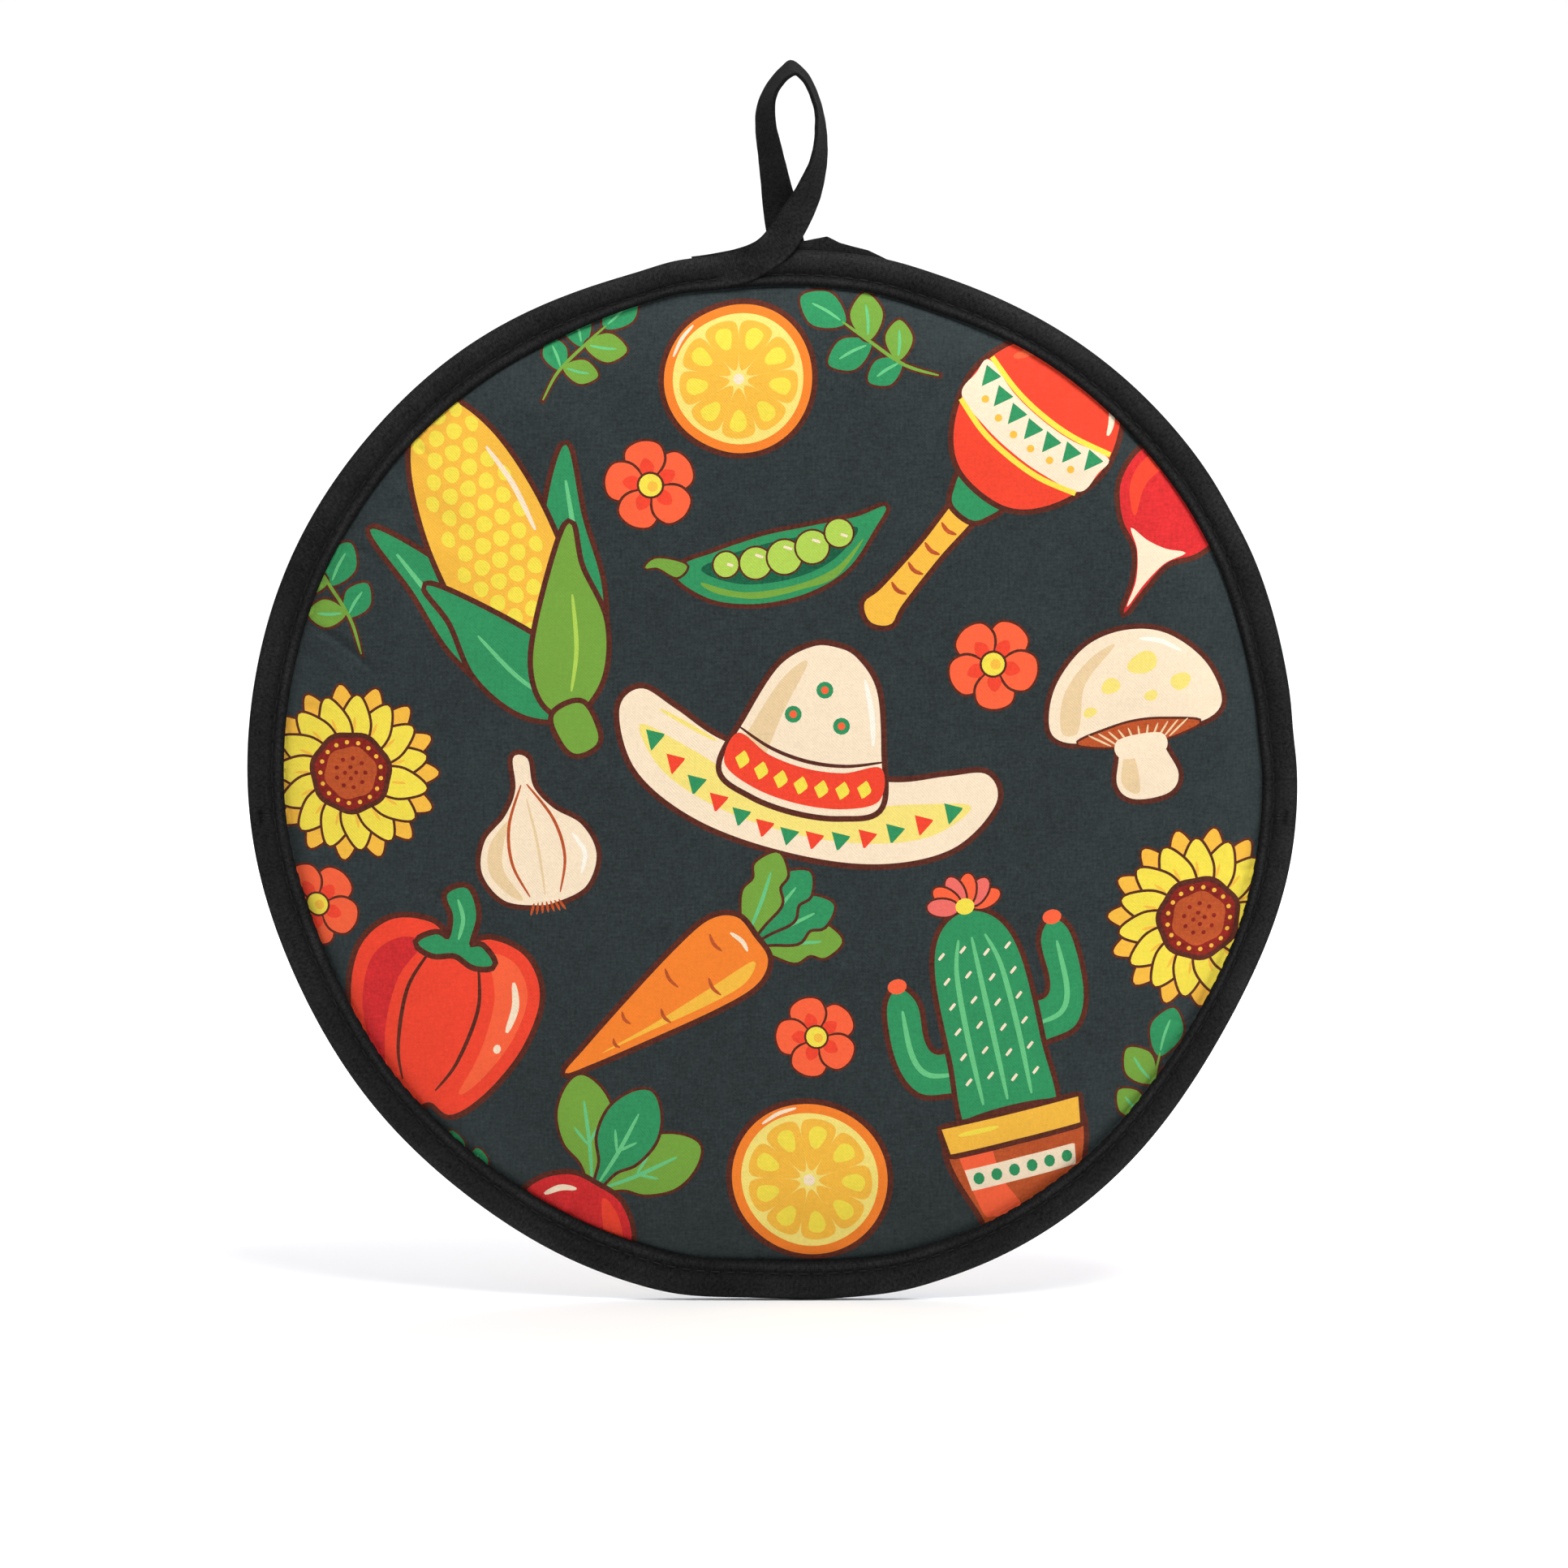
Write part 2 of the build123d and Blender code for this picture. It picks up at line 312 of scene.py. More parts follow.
# How its inner edge wavers, as the outline does. A place further out follows less, down to none
BINDING_WAVER = ((5, 0.1, 40), (9, 0.12, 200), (14, 0.1, 90), (23, 0.05, 330))
WAVER_END = 144.5
WAVER_FADE = 3.5
INNER_LEG_WAVER = 0.3


def stitch_pull(r, angle):
    """How far the edge stitches pull the binding down: 1 at the middle of a stitch."""
    return (0.5 + 0.5 * np.cos(STITCHES * angle)) * bell((r - STITCH_RADIUS) / 0.9)


def edge_waver(angle):
    """How far the binding's inner edge lies outside the even one."""
    return waves(angle, BINDING_WAVER) + bumps(angle, EDGE_BUMPS)


def binding_top(r, angle):
    """Height of the binding's outer face over the plane between the discs."""
    radii, heights = zip(*BINDING_PROFILE)
    profile = np.interp(r, radii, heights)
    puff = 0.16 * np.sin(61 * angle + 1) * np.sin(37 * angle) + 0.1 * np.cos(STITCHES * angle + 2)
    puff = puff + 0.16 * np.sin(23 * angle + 0.7 * np.sin(9 * angle)) * np.sin(r * 0.6)
    puff = puff * np.clip((r - 143.2) / 2, 0, 1) * np.clip((RADIUS - r) / 3, 0, 1)
    return profile - STITCH_PULL * stitch_pull(r, angle) + puff


# ------------------------------------------------------------------ making meshes
def deselect():
    bpy.ops.object.select_all(action="DESELECT")


def take(obj):
    """Makes one object the only one selected, and the active one."""
    deselect()
    obj.select_set(True)
    bpy.context.view_layer.objects.active = obj


def select_where(obj, test):
    """In edit mode, selects only the points that pass a test, and what lies between them."""
    bpy.ops.mesh.select_all(action="DESELECT")
    edit = bmesh.from_edit_mesh(obj.data)
    for vertex in edit.verts:
        vertex.select = test(vertex.co)
    edit.select_flush(True)
    bmesh.update_edit_mesh(obj.data)


def begun(add, **shape):
    """Adds a primitive, puts its place and turn into its mesh, and opens it for editing."""
    deselect()
    add(**shape)
    bpy.ops.object.transform_apply(location=True, rotation=True, scale=True)
    bpy.ops.object.mode_set(mode="EDIT")
    return bpy.context.object


def select_all():
    bpy.ops.mesh.select_all(action="SELECT")


def extrude(x, y, z):
    bpy.ops.mesh.extrude_region_move(TRANSFORM_OT_translate={"value": (x, y, z)})


def lay_flat(mesh, cloth):
    """Gives each point its place on the piece's own flat cloth, in metres."""
    corner = np.zeros(len(mesh.loops), np.int32)
    mesh.loops.foreach_get("vertex_index", corner)
    layer = mesh.uv_layers.active or mesh.uv_layers.new(name="cloth")
    layer.name = "cloth"
    layer.data.foreach_set("uv", np.asarray(cloth, np.float32)[corner].ravel())


def new_piece(name, points, faces, cloth=None):
    """A mesh object from points in metres, laid out on its flat cloth if it is of cloth."""
    mesh = bpy.data.meshes.new(name)
    mesh.from_pydata(np.asarray(points).tolist(), [], [list(map(int, f)) for f in faces])
    mesh.polygons.foreach_set("use_smooth", np.ones(len(mesh.polygons), bool))
    if cloth is not None:
        lay_flat(mesh, cloth)
    mesh.update()
    obj = bpy.data.objects.new(name, mesh)
    bpy.context.scene.collection.objects.link(obj)
    return obj


def paint_wear_and_light(obj, shares):
    """Marks how worn each point of a tape is and how much painted light it takes: 0 for painted shade in its
    folds, up to 1 for painted highlight on its ridges.
    """
    wear_and_light = obj.data.attributes.new(name="wear_and_light", type="FLOAT", domain="POINT")
    wear_and_light.data.foreach_set("value", np.asarray(shares, np.float32).ravel())


def tube_faces(rows, columns, round_rows):
    """Quads of a tube of rows, each a closed ring of columns; round_rows joins the last row to the first."""
    faces = []
    for i in range(rows if round_rows else rows - 1):
        j = (i + 1) % rows
        for k in range(columns):
            m = (k + 1) % columns
            faces.append((i * columns + k, i * columns + m, j * columns + m, j * columns + k))
    return faces


def face_outwards(obj):
    """Recalculates a closed mesh's normals, outwards."""
    take(obj)
    bpy.ops.object.mode_set(mode="EDIT")
    select_all()
    bpy.ops.mesh.normals_make_consistent(inside=False)
    bpy.ops.object.mode_set(mode="OBJECT")


def copies(name, unit, places):
    """One mesh of many copies of a small shape. Each place is a function from its points to the frame's."""
    points = np.array([v.co for v in unit.data.vertices])
    faces = [tuple(p.vertices) for p in unit.data.polygons]
    all_points, all_faces = [], []
    for k, place in enumerate(places):
        all_points.append(place(points))
        all_faces.extend([tuple(i + k * len(points) for i in face) for face in faces])
    obj = new_piece(name, np.vstack(all_points), all_faces)
    face_outwards(obj)
    return obj


# ------------------------------------------------------------------ drawing the print
# How far apart the points of a drawn line are, and how wide outlines and fine lines are
POINT_STEP = 1.0
LINE = 1.5
FINE_LINE = 0.8


def resampled(points, closed, step=POINT_STEP):
    """The same line with points a step apart."""
    line = np.vstack([points, points[:1]]) if closed else np.asarray(points)
    along = np.concatenate([[0], np.cumsum(np.linalg.norm(np.diff(line, axis=0), axis=1))])
    count = max(int(round(along[-1] / step)), 8 if closed else 3)
    at = np.linspace(0, along[-1], count + 1)
    line = np.column_stack([np.interp(at, along, line[:, k]) for k in range(line.shape[1])])
    return line[:-1] if closed else line


def curve(points, closed=True, step=POINT_STEP):
    """A smooth line through a few points (a Catmull-Rom spline)."""
    p = np.asarray(points, float)
    count = len(p)
    t = np.arange(0, 1, 0.1)[:, None]
    out = []
    for i in range(count if closed else count - 1):
        around = [i + k for k in (-1, 0, 1, 2)]
        a, b, c, d = (p[k % count] if closed else p[min(max(k, 0), count - 1)] for k in around)
        bent = (2 * a - 5 * b + 4 * c - d) * t * t + (3 * b - a - 3 * c + d) * t**3
        out.append(0.5 * (2 * b + (c - a) * t + bent))
    if not closed:
        out.append(p[-1:])
    return resampled(np.vstack(out), closed, step)


def even(half, mirror=(-1, 1)):
    """A smooth closed outline from one half of it: its right half, unless the mirror says otherwise."""
    half = np.asarray(half, float)
    other = half * mirror
    apart = np.any(other != half, axis=1)
    return curve(np.vstack([half, other[apart][::-1]]))


def petal(edge):
    """A smooth closed outline that points along x, from its lower edge."""
    return even(edge, (1, -1))


def sided(side, points):
    """Points of a motif's right side, or the same on its left side."""
    return np.asarray(points) * (side, 1)


def oval(x, y, rx, ry=None, turn=0.0, wobble=0.0, lobes=3):
    """An ellipse, a little uneven if asked."""
    ry = rx if ry is None else ry
    count = max(10, int(2 * math.pi * math.sqrt((rx * rx + ry * ry) / 2) / POINT_STEP))
    a = np.linspace(0, 2 * math.pi, count, endpoint=False)
    r = 1 + wobble * np.sin(lobes * a + x + 2 * y)
    return turned(np.column_stack([rx * r * np.cos(a), ry * r * np.sin(a)]), turn) + (x, y)


def turned(points, degrees):
    c, s = math.cos(math.radians(degrees)), math.sin(math.radians(degrees))
    return np.asarray(points) @ np.array([[c, s], [-s, c]])


def polygon(points):
    return resampled(np.asarray(points, float), True)


def sideways(ahead):
    """Unit directions a quarter turn to the left of a line's own."""
    left = np.column_stack([-ahead[:, 1], ahead[:, 0]])
    return left / np.maximum(np.linalg.norm(left, axis=1, keepdims=True), 1e-9)


def grown(outline, by):
    """The outline moved out by a distance, along its own normals."""
    left = sideways(np.roll(outline, -1, axis=0) - np.roll(outline, 1, axis=0))
    x, y = outline.T
    turns = np.sign(np.sum(x * np.roll(y, -1) - y * np.roll(x, -1)))
    return outline - left * by * turns


def stroke(points, width, tip):
    """A drawn line: a ribbon that thins towards its ends."""
    line = curve(points, False)
    t = np.linspace(0, 1, len(line))
    half = width / 2 * (tip + (1 - tip) * np.sin(math.pi * t) ** 0.5)[:, None]
    aside = sideways(np.gradient(line, axis=0)) * half
    return np.vstack([line + aside, (line - aside)[::-1]])


class Motif:
    """Shapes in painting order, each the name of its colour and an outline."""

    def __init__(self):
        self.shapes = []

    def fill(self, colour, outline):
        self.shapes.append((colour, outline))

    def drawn(self, colour, outline, line=LINE):
        self.fill("line", grown(outline, line))
        self.fill(colour, outline)

    def line(self, points, width, colour="line", tip=0.35):
        self.fill(colour, stroke(points, width, tip))

    def leaf(self, colour, outline, vein, turn, foot, line=FINE_LINE, vein_width=1.0):
        """A leaf or petal with a light vein, turned about its foot."""
        self.drawn(colour, turned(outline, turn) + foot, line)
        self.line(turned(vein, turn) + foot, vein_width, "mint")

    def placed(self, x, y, turn=0.0, size=1.0, flip=False):
        across = -size if flip else size
        return [(colour, turned(outline * (across, size), turn) + (x, y)) for colour, outline in self.shapes]


# ------------------------------------------------------------------ what is drawn
def corn(m):
    for side in (-1, 1):
        leaf = sided(side, [(0, -44), (13, -36), (22, -18), (25, 2), (29, 22), (17, 8), (9, -10)])
        m.drawn("green", curve(leaf))
        m.line(sided(side, [(5, -38), (15, -22), (21, -2), (25, 13)]), 1.6, "mint")
    m.drawn("orange", even([(0, 47), (7, 43), (13, 30), (16, 10), (15, -12), (9, -30), (0, -36)]))
    for row in range(15):
        y = -31 + row * 5.25
        half = 15.2 * math.sqrt(max(0.0, 1 - ((y - 4) / 44) ** 2))
        for column in range(-3, 4):
            x = (column + 0.5 * (row % 2)) * 5.3
            if abs(x) + 2.0 < half:
                squeeze = 1 - 0.35 * (x / half) ** 2
                m.fill("yellow", oval(x, y, 2.2 * squeeze, 2.25, wobble=0.05))
    m.line([(9, 30), (11.5, 18), (12, 4)], 1.5, "cream")
    for side, husk, vein in ((-1, "green", "mint"), (1, "leaf", "lime")):
        outer = [(1, -46), (12, -40), (19, -26), (19, -10), (21, 2)]
        inner = [(8, -12), (-3, -28), (-5, -40)]
        m.drawn(husk, curve(sided(side, outer + inner)))
        m.line(sided(side, [(3, -40), (9, -30), (14, -16)]), 1.2, vein)
    m.drawn("leaf", curve([(-4, -44), (4, -44), (5, -52), (3, -56), (-3, -56), (-5, -51)]))


def maraca(m):
    m.drawn("orange", even([(3.2, -4), (3, -24), (3.6, -40), (4.6, -46), (0, -49)]))
    for y in (-16, -23, -30, -37):
        m.line([(-2.6, y), (0, y - 0.8), (2.6, y)], 1.2, "rust")
    m.drawn("green", even([(6.5, -1), (5.6, -7.5), (3, -10.5)]))
    m.drawn("red", even([(0, 46), (12, 42.5), (20, 30), (21.5, 18), (16, 5), (7, -2)]))
    m.fill("cream", even([(0, 22.4), (10, 23.2), (20.9, 26), (21.4, 21), (20.7, 14), (10, 11.3), (0, 10.6)]))
    for i in range(-3, 4):
        x, dip = i * 6.0, 0.012 * (i * 6.0) ** 2
        m.fill("green", polygon([(x - 2.6, 20.6 + dip), (x + 2.6, 20.6 + dip), (x, 15.2 + dip)]))
    for i in range(-3, 3):
        x = i * 6.0 + 3
        m.fill("orange", oval(x, 14.4 + 0.012 * x * x, 1.05))
    for end, y, rise in ((20.8, 23.4, 3.6), (20.2, 9.2, 3.8)):
        band = [(-end, y + rise), (-10, y + 0.8), (0, y), (10, y + 0.8), (end, y + rise)]
        m.line(band, 1.5, "yellow", tip=0.9)
    m.fill("scarlet", curve([(-15, 31), (-9, 38), (-3, 41), (-8, 40.5), (-13, 37), (-16.5, 31.5)]))
    m.line([(12, 38.5), (15.5, 34), (17, 30.5)], 1.7, "cream")
    m.fill("cream", oval(9.2, 41.2, 1.0))


def cactus(m):
    for side, low, high in ((-1, -6, 16), (1, 2, 25)):
        inner = [(8, low + 7), (16, low + 7.6), (18.5, low + 12), (18.4, high), (22.5, high + 5)]
        outer = [(26.6, high), (27, low + 8), (23, low - 1), (15, low - 3), (8, low - 3)]
        m.drawn("green", curve(sided(side, inner + outer)))
        rib = [(12, low + 1.5), (19.5, low + 3), (22.6, low + 9), (22.6, high - 1)]
        m.line(sided(side, rib), 1.5, "mint")
        m.fill("scarlet", oval(side * 22.6, high + 5.6, 2.6, 2.0))
    m.drawn("green", even([(0, 37), (8, 33), (12, 22), (12.4, 0), (11, -22)]))
    for x in (-6.2, 0, 6.2):
        m.line([(x * 1.08, -14), (x * 1.12, 4), (x, 21), (x * 0.6, 30)], 1.5, "mint")
    for row in range(6):
        for x in (-9.2, -3.1, 3.1, 9.2):
            y = -10 + row * 6.8 + (x * 5) % 3
            m.line([(x - 0.9, y), (x + 0.9, y + 1.4)], FINE_LINE, "cream", tip=0.8)
    for i in range(6):
        turn = 15 + 30 * i
        a = math.radians(turn)
        bud = oval(6.2 * math.cos(a), 38 + 5.0 * math.sin(a), 4.2, 2.3, turn)
        m.drawn("pink" if i % 2 else "scarlet", bud, 0.6)
    m.fill("yellow", oval(0, 38.4, 2.6, 2.2))
    m.drawn("rust", even([(17, -20), (13.5, -43), (10, -46)]))
    m.fill("scarlet", curve([(-16, -22), (-13, -42), (-10, -44.6), (-2, -44.6), (-6, -34), (-8, -22)]))
    m.fill("cream", polygon([(-15.3, -30), (15.3, -30), (14.5, -36), (-14.5, -36)]))
    for i in range(6):
        m.fill("green", oval(-12 + i * 4.9, -33, 1.5, 1.7))
    m.drawn("orange", polygon([(-19, -18), (19, -18), (18, -25), (-18, -25)]))
    m.line([(-15, -20.5), (-4, -20.5)], 1.3, "yellow")


def sunflower(m):
    petals = 15
    for reach, colour, shift in ((25, "orange", 0), (22, "yellow", 0.5)):
        shape = petal([(8, -2.6), (reach * 0.62, -4.2), (reach * 0.88, -2.4), (reach, 0)])
        for i in range(petals):
            turn = 360 * (i + shift) / petals
            m.drawn(colour, turned(shape, turn), 0.75)
            if colour == "yellow":
                m.line(turned([(12, 0), (reach * 0.72, 0.3)], turn), FINE_LINE, "orange")
    m.drawn("maroon", oval(0, 0, 10.2, wobble=0.03, lobes=7))
    m.fill("rust", oval(0, 0, 7.4, wobble=0.04, lobes=6))
    for radius, count, colour in ((1.6, 4, "maroon"), (4.2, 9, "maroon"), (8.7, 17, "orange")):
        for i in range(count):
            a = 2 * math.pi * i / count + radius
            m.fill(colour, oval(radius * math.cos(a), radius * math.sin(a), 0.62))


def bell_pepper(m):
    right = [(0, 17), (8, 21), (18, 19), (24, 10), (23, -4), (17, -18), (10, -26), (4, -24.5)]
    left = [(0, -27.5), (-5, -24.5), (-11, -26.5), (-18, -18), (-23.5, -3), (-24, 10), (-18, 19), (-8, 21)]
    m.drawn("red", curve(right + left))
    lit = [(9, 17), (16, 16.5), (21, 9), (20, -3), (15, -15), (10.5, -20), (13, -8), (13, 6)]
    m.fill("scarlet", curve(lit))
    shaded = [(-9, 15), (-15, 15), (-20.5, 8), (-20, -4), (-15, -15), (-9.5, -22), (-12.5, -8), (-12.5, 5)]
    m.fill("crimson", curve(shaded))
    for side in (-1, 1):
        m.line(sided(side, [(6, 15), (9.5, 3), (8, -12), (4.5, -21)]), 1.0)
    m.line([(16.5, 12), (18.6, 6), (18.2, -1)], 1.9, "cream")
    m.fill("cream", oval(17, -5.8, 1.0, 1.2))
    stem = [(-2.6, 18), (-3, 24), (-6, 29), (-1.5, 32), (2.5, 26), (2.8, 18)]
    collar = [(6, 18.4), (10, 15), (5.5, 13.4), (0, 15), (-5.5, 13.4), (-10, 15), (-6, 18.4)]
    m.drawn("green", curve(stem + collar))
    m.line([(-3, 28.6), (-0.4, 24), (-0.2, 18.6)], 1.1, "mint")


def carrot(m):
    left = [(0, 0), (-3.4, 7), (-5.2, 13), (-3.6, 17), (-4.6, 21)]
    right = [(0, 25.5), (4.2, 21), (3.4, 17), (5.4, 13), (3.2, 7)]
    for turn, colour in ((-34, "leaf"), (-12, "green"), (12, "green"), (34, "leaf")):
        m.leaf(colour, curve(left + right), [(0, 4), (0.3, 12), (0, 20)], turn, (0, 18))
    right = [(0, 21), (7, 20.4), (10.6, 14), (9.5, 2), (6, -16), (2.4, -33)]
    left = [(0, -41), (-2.2, -33), (-6, -16), (-9.5, 2), (-10.6, 14), (-7, 20.4)]
    m.drawn("tangerine", curve(right + left))
    m.fill("orange", curve([(5, 17), (8.4, 12), (7.2, 0), (4, -16), (1.4, -30), (3, -14), (4, 2)]))
    rings = ((-7.5, 12, 5.5), (7.2, 5, -5.5), (-7, -3, 6), (5.4, -10, -4.5), (-4.4, -19, 4), (3, -25, -3))
    for x, y, across in rings:
        m.line([(x, y), (x + across / 2, y - 0.7), (x + across, y)], 0.95, "rust")
    m.line([(-4.6, 16.6), (-1, 17.8), (2, 17.4)], 1.2, "cream")


def mushroom(m):
    m.drawn("cream", even([(7, 2), (6.4, -10), (9, -20), (5, -25)]))
    m.fill("sand", curve([(-6.2, -2), (-5.4, -11), (-7.6, -20), (-3, -23.4), (-2.6, -12)]))
    m.drawn("cream", even([(0, 23), (12, 20), (22, 10), (25, -2), (18, -6.5), (8, -4), (0, -3.2)]))
    m.fill("sand", curve([(-22, -2.4), (-19.5, 8), (-11, 16.5), (-3, 19.4), (-13, 10), (-16, 0), (-18, -4)]))
    spots = ((4, 13, 4.4, 3), (14, 6, 3, 2.4), (-6, 8, 2.8, 2.2), (5, 3.4, 2, 1.5), (-13, 1.6, 2, 1.4))
    for spot in spots:
        m.fill("butter", oval(*spot, 12, 0.06))
    m.drawn("rust", even([(0, -3.2), (8, -4), (18, -6.5), (9, -9.2), (0, -9.8)]), 0.7)
    for i in range(-5, 6):
        m.line([(i * 2.9, -4.6 - 0.05 * abs(i)), (i * 1.7, -9)], 0.6, "sand")
    m.fill("cream", even([(6.2, -7.6), (6.2, -13)]))
    m.line([(15.5, 14.4), (10, 18.2), (4, 20)], 1.3, "white")


def radish(m):
    left = [(0, 0), (-2.4, 8), (-6.6, 14), (-7.6, 22), (-4.6, 29)]
    right = [(0, 32), (5, 28), (7.6, 21), (6, 13), (2.4, 8)]
    top = (0, 13)
    for turn, colour in ((-38, "leaf"), (34, "leaf"), (-2, "green")):
        m.leaf(colour, curve(left + right), [(0, 3), (0.4, 13), (0, 25)], turn, top, 0.85, 1.1)
        for side in (-1, 1):
            m.line(turned(sided(side, [(0, 13), (3.4, 18)]), turn) + top, FINE_LINE, "mint")
    right = [(0, 15), (8, 14), (15, 7), (16.5, -3), (12, -12), (5, -18), (1.6, -26), (0.6, -36)]
    left = [(-1.8, -27), (-5, -18), (-12, -12), (-16.5, -3), (-15, 7), (-8, 14)]
    m.drawn("crimson", curve(right + left))
    m.fill("red", curve([(3, 12.6), (9, 10.5), (13.6, 4), (13.6, -3.6), (9, -10), (9.6, 0)]))
    foot = [(-8.8, -13.4), (-3, -14.6), (3, -14.6), (8.8, -13.4)]
    root = [(4.4, -18.4), (1.2, -26), (0.5, -34), (-1.4, -26), (-4.4, -18.4)]
    m.fill("cream", curve(foot + root))
    m.line([(-11.4, 5.4), (-8.4, 9.4), (-4.4, 11.4)], 1.7, "cream")
    m.fill("cream", oval(-12.6, 1.6, 1.0))


def pea_pod(m):
    low = [(-33, 3), (-24, -6), (-10, -11), (6, -11.5), (20, -7), (31, 3)]
    high = [(36, 9), (26, 8), (12, 8.6), (-4, 9.4), (-20, 8.2), (-30, 7)]
    m.drawn("green", curve(low + high))
    hollow = [(-25, 3.6), (-14, -3.6), (2, -6), (16, -3.4), (26, 4.6), (12, 6), (-4, 6.8), (-18, 6)]
    m.fill("forest", curve(hollow))
    for i, r in enumerate((3.9, 4.9, 5.3, 5.1, 4.3)):
        x = -17 + i * 9.2
        m.drawn("lime", oval(x, 1.2 + 0.008 * x * x, r), 0.65)
        m.line([(x + r * 0.1, 1.2 + r * 0.62), (x + r * 0.55, 1.2 + r * 0.34)], 0.9, "cream", tip=0.8)
    lit_high = [(-26, 0), (-14, -6.2), (2, -8.2), (16, -6), (27, 1)]
    lit_low = [(16, -8.6), (4, -10), (-10, -9.4), (-22, -4.6)]
    m.fill("leaf", curve(lit_high + lit_low))
    m.drawn("leaf", curve([(-33, 3.4), (-38, 7.6), (-42, 8.4), (-38.4, 10.6), (-33, 9), (-29, 6)]), FINE_LINE)


def citrus(m):
    m.drawn("tangerine", oval(0, 0, 20, wobble=0.012))
    m.fill("butter", oval(0, 0, 17.6, wobble=0.012))
    for turn in range(0, 360, 40):
        m.fill("orange", turned(petal([(2.4, 0), (8, -2.9), (14.4, -4.4), (16.1, 0)]), turn))
        m.fill("yellow", turned(curve([(8.6, -0.8), (13, -2.4), (14.3, 0.4), (12.4, 2.2), (9, 1.2)]), turn))
    m.fill("cream", oval(0, 0, 1.5))
    m.line([(-12.2, 14.2), (-8, 17), (-3.4, 18.6)], 1.0, "cream")


def garlic(m):
    right = [(2.4, 24), (2.6, 16), (7, 9), (14, 3), (16.6, -6), (12, -14.6), (3, -17.6)]
    left = [(-3, -17.6), (-12, -14.6), (-16.6, -6), (-14, 3), (-7, 9), (-2.6, 16), (-1.6, 25)]
    m.drawn("cream", curve(right + left))
    shaded = [(-5.6, 8), (-12.6, 2), (-14.6, -6), (-10.6, -13), (-6.4, -15.4), (-10.4, -6), (-8.6, 2)]
    m.fill("sand", curve(shaded))
    for side in (-1, 1):
        m.line(sided(side, [(0.8, 17), (6.4, 6), (7.6, -5), (4.4, -15)]), 0.9, "rust")
    m.line([(0, 13), (0.6, 0), (0, -15)], FINE_LINE, "sand")
    m.line([(11, 1), (13.4, -5), (11.4, -10.6)], 1.3, "white")
    for i in range(-3, 4):
        m.line([(i * 1.2, -17), (i * 1.7, -20.2)], FINE_LINE, "rust")


def small_flower(m):
    turns = range(18, 360, 72)
    for turn in turns:
        m.drawn("scarlet", turned(petal([(2, 0), (6, -5.2), (11.4, -5), (13.4, 0)]), turn), FINE_LINE)
    for turn in turns:
        m.fill("red", turned(petal([(2, 0), (5.4, -2.2), (8.4, 0)]), turn))
    m.drawn("yellow", oval(0, 0, 3.4), 0.7)
    m.fill("orange", oval(0.5, -0.5, 1.6))


def sprig(m):
    m.line([(-2, -19), (0.6, -8), (0, 4), (-1, 14)], 2.2, tip=0.7)
    shape = petal([(0, 0), (4, -3.8), (9, -4.6), (14, 0)])
    vein = np.array([(1.6, 0), (6, 0.3), (10.5, 0)])
    for x, y, turn, size in ((0, -7, 28, 0.8), (0.4, -6, 152, 0.8), (0.2, 3, 34, 0.95), (0, 4, 146, 0.95),
                             (-1, 12, 92, 1.05)):
        m.leaf("green" if turn < 100 else "leaf", shape * size, vein * size, turn, (x, y), 0.75, 0.85)
    m.line([(-1.7, -18), (0.6, -8), (0, 4), (-1, 13)], 1.0, "leaf")


def sombrero(m):
    m.drawn("cream", even([(0, 3.6), (22, 5), (36, 10), (46, 13), (50, 6), (42, -8), (24, -16.5), (0, -19)]))
    m.fill("butter", even([(0, -4), (16, -3), (30, 1), (44, 4), (36, -6), (20, -12), (0, -14)]))
    for i in range(-6, 7):
        x = i * 6.6
        y = -14.9 + 0.0098 * x * x
        top = y + 1.8 + 0.02 * abs(x)
        m.fill("red" if i % 2 else "green", polygon([(x - 2.6, top), (x + 2.6, top), (x, y - 2.6)]))
    m.drawn("cream", even([(0, 35.4), (6, 34), (13, 27), (18, 12), (21, -2), (12, -6.6), (0, -8)]))
    m.fill("sand", curve([(-18.4, 0), (-15.4, 13), (-11, 25), (-6, 30), (-9, 16), (-11, 2), (-12, -4)]))
    m.fill("red", even([(0, 3.2), (10, 4.4), (19, 8), (20.6, -0.4), (12, -4.8), (0, -6.2)]))
    for i in range(-3, 4):
        x = i * 5.4
        y = -1.4 + 0.011 * x * x
        m.fill("yellow", polygon([(x - 2, y), (x, y + 2.6), (x + 2, y), (x, y - 2.6)]))
    m.line([(-19.2, 9.6), (-10, 6.2), (0, 5.0), (10, 6.2), (19.2, 9.6)], 1.0)
    for x, y in ((0, 24), (-6.4, 16), (6.4, 16)):
        m.fill("green", oval(x, y, 2.2))
        m.fill("scarlet", oval(x, y, 1.0))
    m.line([(9.4, 29), (13.2, 21), (15.6, 13)], 1.4, "white")
    m.line([(-40, 9), (-30, 6.2), (-24, 4.6)], 1.1, "butter")


PALETTE = {
    "ground": (46, 54, 55), "line": (92, 42, 30), "red": (244, 70, 46), "scarlet": (252, 100, 60),
    "crimson": (216, 44, 46), "maroon": (140, 34, 26), "rust": (190, 84, 40), "tangerine": (248, 132, 44),
    "orange": (248, 188, 66), "yellow": (246, 224, 76), "butter": (248, 226, 122), "sand": (236, 206, 160),
    "cream": (250, 228, 198), "white": (255, 247, 232), "green": (48, 146, 92), "forest": (24, 96, 66),
    "mint": (104, 196, 130), "leaf": (118, 164, 62), "lime": (178, 210, 84), "pink": (240, 110, 100),
}

